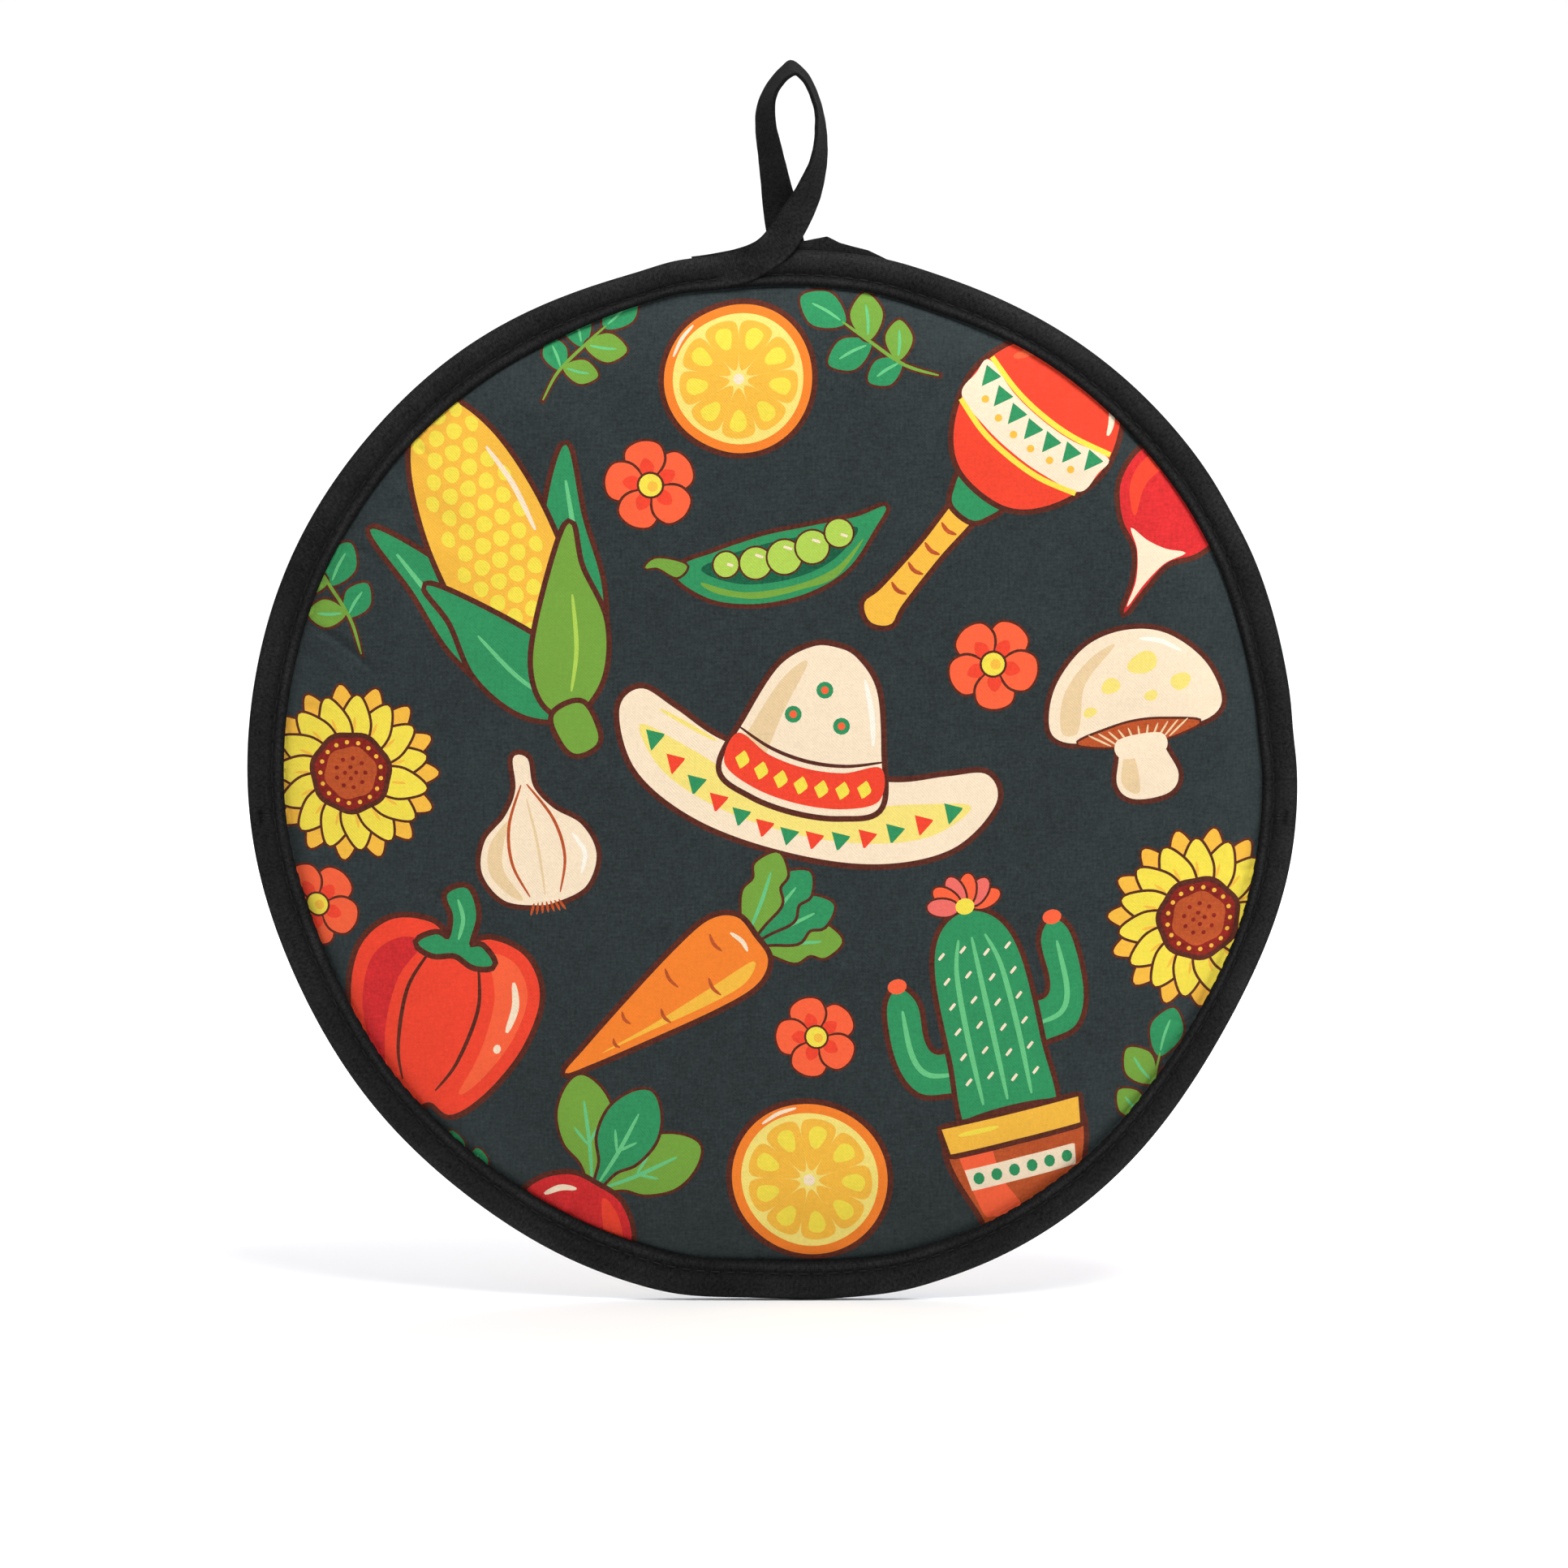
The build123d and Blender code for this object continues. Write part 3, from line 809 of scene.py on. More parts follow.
# Where each motif lies: its place, turn and size, and True for one that is drawn the other way round
FRONT = (
    (sombrero, 8, 0, -14, 1.1),
    (corn, -77, 62, 24, 1.04),
    (maraca, 60, 84, -40, 1.04),
    (cactus, 63, -76, 12, 1.06),
    (bell_pepper, -96, -66, -16, 1.12),
    (sunflower, -120, 2),
    (sunflower, 122, -40, 10, 1.05),
    (carrot, -24, -58, -54, 1.08),
    (mushroom, 103, 20, 10),
    (pea_pod, 2, 62, 14, 0.9),
    (citrus, 10, -114, 0, 1.1),
    (citrus, -10, 114, 30, 1.05),
    (radish, -58, -130, -28, 1.05),
    (radish, 114, 80, -24, 1.0, True),
    (small_flower, -35, 84, 12, 0.95),
    (small_flower, 62, 33, 40, 0.95),
    (garlic, -68, -18, 10),
    (small_flower, 12, -73, 20, 0.85),
    (sprig, -124, 52, 30),
    (sprig, 108, -92, -20),
    (sprig, 30, 122, 60, 1.0, True),
    (sprig, -56, 121, -40, 0.9, True),
    (small_flower, -131, -36, 30, 0.9),
    (sprig, -90, -113, 64, 0.75),
)
BACK = (
    (bell_pepper, 2, 0, 14, 1.2),
    (corn, 78, 50, -30, 1.04, True),
    (maraca, -68, 64, 40, 1.06),
    (sunflower, 4, 84, 0, 1.1),
    (carrot, -64, -36, 34, 1.1),
    (cactus, 72, -58, -10, 1.04, True),
    (sombrero, -16, -102, 10, 1.05),
    (mushroom, -118, 14, -12, 1.0, True),
    (citrus, 122, -4),
    (citrus, -108, -78, 0, 1.05),
    (radish, 44, 124, 60, 0.95),
    (garlic, 24, -54, 16, 0.95),
    (pea_pod, -40, 122, 24, 0.85),
    (small_flower, -45, -1, 12, 0.85),
    (small_flower, 46, -15, 30, 0.85),
    (sprig, 24, 45, 60, 0.85),
    (sprig, 112, -88, 0, 1.0, True),
    (sunflower, 46, -134, 8, 0.9),
    (sprig, -124, 60, 20, 0.9),
    (small_flower, -26, -47, 0, 0.8),
)


# ------------------------------------------------------------------ the discs' nets
# The cover's net is finer outside this radius, and the grids of its points end at this one
FINE_NET = 122.0
GRID_EDGE = 136.8
# It is fine this far above and below the fold too, and its points keep this far from a drawn outline
FOLD_REACH = 17.0
FOLD_SPACING = 2.0
OUTLINE_ROOM = 0.7
RIM_POINTS = 360
# How far apart a honeycomb's rows are, for points one apart
ROW_PITCH = 0.866
# Rings of points between the grids and the cloth's edge, each its radius and how many
NET_RINGS = ((146.0, 360), (143.0, 360), (141.6, 420), (140.4, 420), (139.3, 420), (138.0, 420))


def ring(radius, count):
    angle = np.linspace(0, 2 * math.pi, count, endpoint=False)
    return np.column_stack(on_ring(radius, angle))


def tree_of(points):
    """Finds the nearest of some points on the cloth."""
    tree = KDTree(len(points))
    for k, (u, v) in enumerate(points):
        tree.insert((u, v, 0), k)
    tree.balance()
    return tree


def honeycomb(spacing, reach):
    """Points of a honeycomb grid inside a circle."""
    rows = int(reach / (spacing * ROW_PITCH)) + 1
    columns = int(reach / spacing) + 1
    row, column = np.mgrid[-rows : rows + 1, -columns : columns + 1]
    points = np.column_stack([(column + 0.5 * (row % 2)).ravel(), (row * ROW_PITCH).ravel()]) * spacing
    return points[np.hypot(*points.T) < reach]


def near_fold(points):
    return np.abs(points[:, 1] + FOLD_DROP) < FOLD_REACH


def net(spacing, edge_spacing, outlines=()):
    """Triangles that fill a disc's cloth, with an edge along every outline. Returns points and triangles."""
    middle = honeycomb(spacing, FINE_NET)
    fold = honeycomb(FOLD_SPACING, GRID_EDGE)
    outer = honeycomb(edge_spacing, GRID_EDGE)
    middle = middle[~near_fold(middle)]
    fold = fold[near_fold(fold)]
    outer = outer[(np.hypot(*outer.T) >= FINE_NET) & ~near_fold(outer)]
    fill = [*(ring(*band) for band in NET_RINGS), middle, fold, outer]
    for at_u, at_v, _, length, _, _ in CREASES if outlines else ():
        patch = honeycomb(0.9 if length > 9 else 0.7, length * 0.75) + (at_u, at_v)
        fill.append(patch[np.hypot(*patch.T) < 137])
    fill = np.vstack(fill)
    if len(outlines):
        drawn = tree_of(np.vstack(outlines))
        fill = fill[[drawn.find((u, v, 0))[2] > OUTLINE_ROOM for u, v in fill]]
    points, edges, count = [], [], 0
    for outline in (ring(CLOTH_EDGE, RIM_POINTS), *outlines):
        points.append(outline)
        edges.extend([(count + k, count + (k + 1) % len(outline)) for k in range(len(outline))])
        count += len(outline)
    flat = [Vector(p) for p in np.vstack([*points, fill]).tolist()]
    found, _, triangles, _, _, _ = delaunay_2d_cdt(flat, edges, [], 0, 1e-4, False)
    return np.array([tuple(p) for p in found]), np.array(triangles)


def inside(points, outline):
    """Which points an outline goes round."""
    turns = np.zeros(len(points), int)
    x, y = points[:, 0], points[:, 1]
    ahead = np.roll(outline, -1, axis=0)
    for (ax, ay), (bx, by) in zip(outline, ahead):
        if ay == by:
            continue
        left = (bx - ax) * (y - ay) - (x - ax) * (by - ay)
        turns += ((ay <= y) & (y < by) & (left > 0)).astype(int)
        turns -= ((by <= y) & (y < ay) & (left < 0)).astype(int)
    return turns != 0


def layout_shapes(layout, mirrored):
    """Every drawn shape of a layout, on the cloth, cut off at the print's edge."""
    shapes = []
    for make, *place in layout:
        motif = Motif()
        make(motif)
        for colour, outline in motif.placed(*place):
            if mirrored:
                outline = outline * (-1, 1)
            far = np.hypot(*outline.T)
            if far.min() > PRINT_EDGE:
                continue
            outline = outline * np.minimum(1, PRINT_EDGE / np.maximum(far, 1))[:, None]
            shapes.append((colour, outline))
    return shapes


def painted(centres, shapes):
    """The colour of each triangle of the print: that of the last shape drawn over its middle."""
    colours = np.tile(linear(PALETTE["ground"]), (len(centres), 1))
    for colour, outline in shapes:
        low, high = outline.min(0), outline.max(0)
        within = np.flatnonzero(np.all((centres >= low) & (centres <= high), axis=1))
        if len(within):
            colours[within[inside(centres[within], outline)]] = linear(PALETTE[colour])
    return colours


def linear(colour):
    """A colour of the palette in the renderer's own light."""
    c = np.array(colour) / 255
    return np.where(c <= 0.04045, c / 12.92, ((c + 0.055) / 1.055) ** 2.4)


# ------------------------------------------------------------------ how the padded cloth settles
OVERSIZE = 0.011
SETTLING_FRAMES = 20
DEEPEST_GATHER = 1.2
# The slight waves that it starts with: how many, and how high
STARTING_WAVES = 26
STARTING_HEIGHT = 0.05
# How far around it a place of the map looks, and how soon a height's share in it falls off
MAP_REACH = 5.5
MAP_FADE = 2.4


def settled_cloth(seed):
    """A disc's cover as cloth: sewn down all round, a little large for its disc, pushed up by the wadding.

    Returns a square map of how far it gathers out of its even crown, in millimetres.
    """
    flat, triangles = net(3.0, 3.0)
    u, v = flat.T
    r = np.hypot(u, v)
    chance = np.random.default_rng(seed)
    rim, crown = (faces[1] for faces in LAYERS["cover"])
    level = rim + (crown - rim) * loft(u, v)
    start = level.copy()
    for _ in range(STARTING_WAVES):
        turn, pitch, phase = chance.uniform((0, 9, 0), (2 * math.pi, 32, 2 * math.pi))
        along = u * math.cos(turn) + v * math.sin(turn)
        start += STARTING_HEIGHT * np.sin(along / pitch + phase) * (r < 139)
    obj = new_piece("settling_cloth", np.column_stack([u, v, start]) * MM, triangles)
    sewn = obj.vertex_groups.new(name="sewn")
    sewn.add([int(k) for k in np.flatnonzero(r > 139.2)], 1.0, "REPLACE")
    take(obj)
    bpy.ops.object.modifier_add(type="CLOTH")
    cloth = obj.modifiers[-1].settings
    cloth.quality = 8
    cloth.mass = 0.15
    cloth.air_damping = 3
    cloth.bending_stiffness = 16
    cloth.vertex_group_mass = "sewn"
    cloth.shrink_min = cloth.shrink_max = -OVERSIZE
    cloth.use_pressure = True
    cloth.uniform_pressure_force = 2.5
    cloth.effector_weights.gravity = 0
    for frame_number in range(1, SETTLING_FRAMES + 1):
        bpy.context.scene.frame_set(frame_number)
    bpy.ops.object.modifier_apply(modifier=obj.modifiers[-1].name)
    height = np.array([point.co[2] for point in obj.data.vertices]) / MM - level
    bpy.data.objects.remove(obj)
    bpy.context.scene.frame_set(1)
    ring_of = (r / 5).astype(int)
    around = np.bincount(ring_of, height) / np.maximum(np.bincount(ring_of), 1)
    gathered = height - np.interp(r, (np.arange(len(around)) + 0.5) * 5, around)
    return squared(flat, np.clip(gathered, -DEEPEST_GATHER, DEEPEST_GATHER))


def squared(flat, heights):
    """Heights at scattered points, put on a square map. Each place takes a share of all within reach."""
    tree = tree_of(flat)
    size = 2 * MAP_HALF + 1
    square = np.zeros((size, size))
    for row in range(size):
        for column in range(size):
            place = ((column - MAP_HALF) * MAP_STEP, (row - MAP_HALF) * MAP_STEP, 0)
            near = tree.find_range(place, MAP_REACH)
            share = np.array([math.exp(-((away / MAP_FADE) ** 2)) for _, _, away in near])
            if len(near):
                square[row, column] = np.dot(share, heights[[k for _, k, _ in near]]) / share.sum()
    return square


# ------------------------------------------------------------------ the discs' layers
def outward_normals(side, layer, outer, u, v):
    """The cloth's own normals, from its shape and not from the net's triangles."""
    step = 0.25
    at = [
        placed(side, u + du, v + dv, layer_height(side, layer, outer, u + du, v + dv))
        for du, dv in ((step, 0), (-step, 0), (0, step), (0, -step))
    ]
    normal = np.cross(at[0] - at[1], at[2] - at[3])
    normal /= np.linalg.norm(normal, axis=1, keepdims=True)
    return normal * (1 if outer else -1) * -SIDES[side]


def rim_of(points):
    """The net's points on the cloth's edge, in order round it."""
    r, angle = polar(*points.T)
    rim = np.flatnonzero(r > CLOTH_EDGE - 0.01)
    return rim[np.argsort(angle[rim])]


def make_layer(side, layer, outer_net, inner_net):
    """One layer of a disc, a closed sheet with an outer and an inner face."""
    sign = SIDES[side]
    points, faces, cloth, normals = [], [], [], []
    start = 0
    for is_outer, (flat, triangles) in ((True, outer_net), (False, inner_net)):
        u, v = flat.T
        points.append(placed(side, u, v, layer_height(side, layer, is_outer, u, v)))
        normals.append(outward_normals(side, layer, is_outer, u, v))
        cloth.append(flat * MM)
        turned_out = (sign < 0) == is_outer
        faces.append((triangles if turned_out else triangles[:, ::-1]) + start)
        start += len(flat)
    top, bottom = rim_of(outer_net[0]), rim_of(inner_net[0]) + len(outer_net[0])
    faces = [tuple(f) for f in np.vstack(faces)]
    for k in range(len(top)):
        m = (k + 1) % len(top)
        wall = (top[k], bottom[k], bottom[m], top[m])
        faces.append(wall if sign < 0 else wall[::-1])
    obj = new_piece(f"{side}_{layer}", np.vstack(points), faces, np.vstack(cloth))
    obj.data.normals_split_custom_set_from_vertices(np.vstack(normals).tolist())
    return obj


def make_cover(side, layout, plain_net):
    """The printed cover. Its outer face is cut along every drawn outline, for crisp edges of the print."""
    shapes = layout_shapes(layout, side == "back")
    flat, triangles = net(3.0, 2.0, [outline for _, outline in shapes])
    obj = make_layer(side, "cover", (flat, triangles), plain_net)
    colours = painted(flat[triangles].mean(axis=1), shapes)
    ground = np.tile(linear(PALETTE["ground"]), (len(obj.data.polygons) - len(triangles), 1))
    per_face = np.vstack([colours, ground])
    sizes = np.zeros(len(obj.data.polygons), np.int32)
    obj.data.polygons.foreach_get("loop_total", sizes)
    per_corner = np.repeat(per_face, sizes, axis=0)
    ink = obj.data.color_attributes.new(name="print", type="FLOAT_COLOR", domain="CORNER")
    ink.data.foreach_set("color", np.column_stack([per_corner, np.ones(len(per_corner))]).ravel())
    return obj


# ------------------------------------------------------------------ the binding and its threads
# The radii of the tape's outer face, and the rest of its section: round the rim, the inner leg and
# the hollow that the layers fill, each place its radius and height
BINDING_OUTER = (
    139.8, 140.1, 140.6, 141.2, 141.8, 142.4, 142.7, 143.0, 143.3, 143.7, 144.4, 145.4, 146.4, 147.4, 148.3,
    149.0, 149.5, 149.8, 149.92,
)
BINDING_RIM = (
    (150.0, 0.95), (149.88, 0.5), (149.5, 0.18), (148.8, 0.04), (145.0, 0.03), (141.0, 0.03), (140.2, 0.06),
    (139.9, 0.25), (140.2, 0.46), (148.6, 0.48), (149.38, 0.85), (149.4, 1.7), (149.0, 1.95), (146.4, 2.5),
    (142.0, 2.56), (140.2, 2.5), (139.8, 2.55),
)


def make_binding(side):
    """The folded tape round a disc's edge: a leg on each face, pulled down at every stitch."""
    rows = STITCHES * 6
    angle = np.linspace(0, 2 * math.pi, rows, endpoint=False)
    section = [(r, binding_top(np.full(rows, r), angle), 1) for r in BINDING_OUTER]
    section += [(r, np.full(rows, h), 1 if h > 2 else INNER_LEG_WAVER) for r, h in BINDING_RIM]
    radii, heights, follows = (np.array(column) for column in zip(*section))
    share = follows * np.clip((WAVER_END - radii) / WAVER_FADE, 0, 1)
    r = radii + np.outer(edge_waver(angle), share)
    h = heights.T
    u, v = on_ring(r, angle[:, None])
    points = placed(side, u.ravel(), v.ravel(), h.ravel())
    across = np.concatenate([[0], np.cumsum(np.hypot(np.diff(r[0]), np.diff(h[0])))])
    cloth = np.column_stack([np.repeat(angle * 145, len(section)), np.tile(across, rows)]) * MM
    obj = new_piece(f"{side}_binding", points, tube_faces(rows, len(section), True), cloth)
    # Partly wear, partly painted shade in the ditch and groove and painted highlight on the ridge and the
    # turn round the rim
    wear_and_light = np.interp(radii, *zip(*BINDING_WEAR_AND_LIGHT))
    patches = 1 + 0.3 * np.sin(7 * angle + np.sin(3 * angle)) * np.sin(17 * angle + 2)
    paint_wear_and_light(obj, wear_and_light[None, :] * patches[:, None])
    face_outwards(obj)
    return obj


def stitch_unit():
    """One short stitch, lying along X with both ends bent down into the cloth, in millimetres."""
    unit = begun(
        bpy.ops.mesh.primitive_cylinder_add, vertices=6, radius=0.27, depth=2.0, rotation=(0, math.pi / 2, 0)
    )
    for end in (-1, 1):
        select_where(unit, lambda point, end=end: point.x * end > 0.9)
        extrude(0.38 * end, 0, -0.12)
        bpy.ops.transform.resize(value=(1, 0.8, 0.8))
        extrude(0.2 * end, 0, -0.28)
        bpy.ops.transform.resize(value=(0.6, 0.6, 0.6))
    bpy.ops.object.mode_set(mode="OBJECT")
    return unit


def along_ring(side, radius, angle, height, slant):
    """A place for a stitch on a ring of a disc, at a height over the middle plane."""

    def place(points):
        x, y, z = points.T
        u, v = on_ring(radius + y + slant * x, angle + x / radius)
        return placed(side, u, v, height + z)

    return place


def stitch_angles():
    """Where the edge stitches are, round the disc."""
    return [2 * math.pi * k / STITCHES for k in range(STITCHES)]


def make_edge_stitches(side, unit):
    """The row of stitches that holds the binding, one in each pulled place."""
    places = []
    for k, angle in enumerate(stitch_angles()):
        height = float(binding_top(STITCH_RADIUS, angle)) + STITCH_LIFT
        radius = STITCH_RADIUS + STITCH_WAVER * float(edge_waver(angle))
        places.append(along_ring(side, radius, angle, height, 0.03 * math.sin(5 * k)))
    return copies(f"{side}_stitching", unit, places)


def make_closing_seam(unit):
    """The stitches that join the two discs, in the ditch beside the binding on both faces."""
    places = []
    for side in SIDES:
        for k, angle in enumerate(stitch_angles()):
            if SEAM_RADIUS * math.sin(angle) < -FOLD_DROP - 8:
                radius = SEAM_RADIUS + float(edge_waver(angle))
                height = SEAM_HEIGHT + 0.02 * math.sin(3 * k)
                places.append(along_ring(side, radius, angle, height, 0.02))
    return copies("closing_seam_stitches", unit, places)


# How many threads a corner tack and the loop's tack have, how far apart, and where the first one lies
CORNER_THREADS = 12
CORNER_PITCH = 0.3
CORNER_DROP = 1.9
LOOP_THREADS = 17
LOOP_PITCH = 0.5
LOOP_TACK_PLACE = (-0.9, 147.4, -2.2)


def tack_unit():
    """One thread of a corner tack: over the front face, round both rims and back, in millimetres."""
    unit = begun(
        bpy.ops.mesh.primitive_circle_add,
        vertices=6, radius=0.25, fill_type="NGON", location=(143.9, 0, 3.3), rotation=(0, math.pi / 2, 0),
    )
    select_all()
    extrude(0.5, 0, 0.25)
    extrude(2.6, 0, 0.1)
    bpy.ops.mesh.spin(steps=8, angle=math.pi, center=(147.0, 0, 0), axis=(0, 1, 0))
    extrude(-2.6, 0, 0.1)
    extrude(-0.5, 0, 0.25)
    select_all()
    bpy.ops.mesh.remove_doubles(threshold=0.001)
    bpy.ops.object.mode_set(mode="OBJECT")
    return unit


def make_corner_tack(name, direction, unit):
    """A bar of threads over both rims, which ties the discs at one end of the mouth."""

    def over_rims(shift, slant, pull):
        def place(points):
            x, y, z = points.T
            v = -FOLD_DROP - CORNER_DROP - shift + y + slant * z
            r = x + pull
            return placed("front", direction * np.sqrt(r**2 - v**2), v, z)

        return place

    places = [
        over_rims(CORNER_PITCH * k, 0.05 * math.sin(4 * k), 0.12 * math.sin(7 * k))
        for k in range(CORNER_THREADS)
    ]
    return copies(name, unit, places)


# ------------------------------------------------------------------ the hanging loop
TAPE_WIDTH = 10.0
# The tape from the front binding, up round the loop and down behind the rim. Each place gives its
# edge beside the eye, its outer edge, and the height of its middle over the front lip's middle plane.
LOOP_TAPE = (
    (-23.5, 148.7, -21.9, 138.8, 0.0),
    (-16.4, 149.8, -14.8, 139.7, 0.8),
    (-10.3, 150.9, -7.1, 141.1, 2.6),
    (-5.2, 152.8, -0.2, 144.5, 3.9),
    (-1.6, 156.2, 5.4, 149.0, 3.8),
    (1.8, 161.2, 9.3, 155.2, 3.0),
    (5.5, 166.6, 12.6, 162.2, 1.8),
    (8.0, 171.0, 14.3, 168.4, 0.6),
    (9.9, 174.9, 15.1, 173.8, -0.5),
    (11.0, 179.3, 15.3, 178.9, -1.6),
    (11.4, 183.8, 14.9, 184.0, -2.6),
    (11.4, 187.9, 14.0, 188.9, -3.6),
    (10.6, 191.6, 12.4, 193.8, -4.6),
    (9.2, 195.2, 10.4, 198.2, -5.5),
    (7.6, 197.6, 7.8, 201.4, -6.2),
    (6.2, 198.7, 4.5, 203.5, -6.8),
    (4.5, 197.9, 1.9, 201.6, -6.9),
    (2.6, 196.1, -0.6, 199.0, -6.8),
    (1.2, 193.8, -3.2, 195.3, -6.5),
    (0.5, 190.9, -4.8, 191.4, -6.1),
    (0.5, 187.9, -5.5, 187.5, -5.6),
    (1.0, 184.0, -5.4, 182.8, -5.0),
    (2.1, 179.8, -4.9, 178.2, -4.3),
    (3.4, 174.7, -4.4, 173.3, -3.6),
    (4.7, 169.6, -3.9, 168.2, -2.9),
    (6.1, 164.5, -3.4, 162.9, -2.3),
    (7.3, 159.4, -2.7, 157.5, -1.9),
    (8.3, 153.8, -1.7, 152.0, -1.65),
    (9.4, 148.2, -0.5, 146.6, -1.6),
    (9.8, 144.4, 0.0, 143.2, -1.6),
)
# Across the tape: how far from its middle, and how thick it is there
ACROSS = ((-0.985, 0.45), (-0.95, 0.9), (-0.86, 1.12), (-0.66, 1.02), (-0.33, 0.93), (0.0, 0.92),
          (0.33, 0.93), (0.66, 1.02), (0.86, 1.12), (0.95, 0.9), (0.985, 0.45))
# How far inside the places above the tape's middle lies where the tape turns edge-on
EDGE_INSET = 0.45


def make_hanging_tape():
    """The tape's strap on the binding, its twisted loop and its end behind the rim, in one piece."""
    rows = []
    for near_u, near_v, far_u, far_v, middle in LOOP_TAPE:
        seen = math.hypot(near_u - far_u, near_v - far_v)
        edge_on = math.sqrt(max(0.0, 1 - min(seen / TAPE_WIDTH, 1) ** 2))
        inset_u, inset_v = EDGE_INSET * edge_on * np.array([far_u - near_u, far_v - near_v]) / seen
        deep = 0.0
        if seen < TAPE_WIDTH:
            deep = math.sqrt(TAPE_WIDTH**2 - (seen - 2 * EDGE_INSET * edge_on) ** 2)
        rows.append((near_u + inset_u, near_v + inset_v, middle + deep / 2,
                     far_u - inset_u, far_v - inset_v, middle - deep / 2))
    rows = curve(rows, False, 0.9)
    near, far = rows[:, :3], rows[:, 3:]
    middle, half = (near + far) / 2, (near - far) / 2
    ahead = np.gradient(middle, axis=0)
    normal = np.cross(ahead, half)
    normal /= np.linalg.norm(normal, axis=1, keepdims=True)
    along = np.concatenate([[0], np.cumsum(np.linalg.norm(np.diff(middle, axis=0), axis=1))])
    # The strap is thin where it starts, sunk into the binding, and is soon whole
    thick = 0.12 + 0.88 * eased((along - 6) / 14)
    profile = [*ACROSS, *((s, -t) for s, t in reversed(ACROSS))]
    columns = []
    for s, t in profile:
        core = middle + half * s
        r, angle = polar(core[:, 0], core[:, 1])
        sunk = 0.9 * (1 - eased(along / 11))
        bed = binding_top(np.minimum(r, RADIUS), angle) + 0.08 + thick / 2 - sunk
        held = np.clip((35 - along) / 10, 0, 1) * (r < RADIUS + 1.5)
        core[:, 2] += held * np.maximum(bed - core[:, 2], 0)
        core[:, 2] += np.minimum(bed - core[:, 2], 0) * (1 - eased((along - 2) / 10))
        ripple = 0.05 * np.sin(along * 1.1 + 2.2 * s) * np.sin(along * 0.37 + s)
        columns.append(core + normal * (thick * t / 2 + ripple)[:, None])
    grid = np.stack(columns, axis=1)
    count = len(profile)
    faces = tube_faces(len(grid), count, False)
    faces.append(tuple(range(count)))
    faces.append(tuple((len(grid) - 1) * count + k for k in reversed(range(count))))
    flat = grid.reshape(-1, 3)
    sides = np.array([s for s, _ in profile])
    cloth = np.column_stack([np.repeat(along, count), np.tile(sides * TAPE_WIDTH / 2, len(grid))]) * MM
    obj = new_piece("hanging_tape", placed("front", *flat.T), faces, cloth)
    # Painted light on the loop's tape: a painted highlight just inside each edge and painted shade at the
    # very edge, painted shade over the loop's top, and a painted shadow on the back leg where the strap
    # crosses it
    light_across = np.interp(np.abs(sides), (0, 0.6, 0.86, 0.95, 1), (0.45, 0.45, 0.6, 0.2, 0.1))
    lit = np.interp(along, (55, 70, 88, 96, 112, 124), (1, 0.15, 0.0, 0.8, 0.8, 0.15))
    paint_wear_and_light(obj, np.outer(lit, light_across))
    face_outwards(obj)
    return obj


# The flap's top edge: places along it, and how far each rises. The last is the flap's own end
TAIL_TOP = ((4.0, -0.4), (9.0, 0.15), (15.0, 1.2), (18.6, -0.7), (22.5, -1.9), (26.5, -3.0), (33.0, -6.2))


def make_loop_tail():
    """The tape's folded end behind the rim: a flat flap whose top corner stands proud of the rim."""
    tail = begun(
        bpy.ops.mesh.primitive_cube_add, size=1, location=(15.45, 147.0, -0.52), scale=(35.1, 10.4, 0.9)
    )
    tail.name = "tape_end_flap"
    for cut, _ in TAIL_TOP[:-1]:
        select_all()
        bpy.ops.mesh.bisect(plane_co=(cut, 0, 0), plane_no=(1, 0, 0))
    for cut, rise in TAIL_TOP:
        select_where(tail, lambda point, cut=cut: abs(point.x - cut) < 0.1 and point.y > 148)
        bpy.ops.transform.translate(value=(0, rise, 0))
    select_all()
    bpy.ops.mesh.bevel(offset=0.3, segments=2, affect="EDGES")
    select_all()
    bpy.ops.mesh.subdivide(number_cuts=3)
    bpy.ops.object.mode_set(mode="OBJECT")
    mesh = tail.data
    points = np.array([v.co for v in mesh.vertices])
    u, v, h = points.T
    h = h - 0.25 * np.sin(u * 0.5) * eased((v - 149) / 3)
    mesh.vertices.foreach_set("co", placed("front", u, v, h).ravel())
    lay_flat(mesh, points[:, :2] * MM)
    paint_wear_and_light(tail, np.full(len(points), 0.45))
    mesh.update()
    take(tail)
    bpy.ops.object.shade_smooth()
    face_outwards(tail)
    return tail


def make_loop_tack(unit):
    """The bar tack that holds the tape's end to the lip, seen from behind."""
    first_u, first_v, first_h = LOOP_TACK_PLACE

    def upright(k):
        def place(points):
            x, y, z = points.T
            v = first_v + x * 0.62 + 0.1 * math.sin(3 * k)
            return placed("front", first_u + LOOP_PITCH * k + y + 0.1 * x, v, first_h - z)

        return place

    return copies("loop_tack_threads", unit, [upright(k) for k in range(LOOP_THREADS)])


# ------------------------------------------------------------------ finishes
class Wire:
    """A value that varies over a surface. An expression on wires adds its Math nodes."""

    def __init__(self, finish, socket):
        self.finish, self.socket = finish, socket

    def math(self, operation, *values):
        inputs = dict(enumerate(values))
        return self.finish.node("ShaderNodeMath", {"operation": operation}, inputs)

    def __add__(self, other):
        return self.math("ADD", self, other)

    def __sub__(self, other):
        return self.math("SUBTRACT", self, other)

    def __rsub__(self, other):
        return self.math("SUBTRACT", other, self)

    def __mul__(self, other):
        return self.math("MULTIPLY", self, other)

    __radd__ = __add__
    __rmul__ = __mul__

    def sin(self):
        return self.math("SINE", self)

    def ramp(self, low, high):
        """0 below low and 1 above high, gently between."""
        return self.finish.node(
            "ShaderNodeMapRange",
            {"interpolation_type": "SMOOTHSTEP"},
            {"Value": self, "From Min": low, "From Max": high},
        )


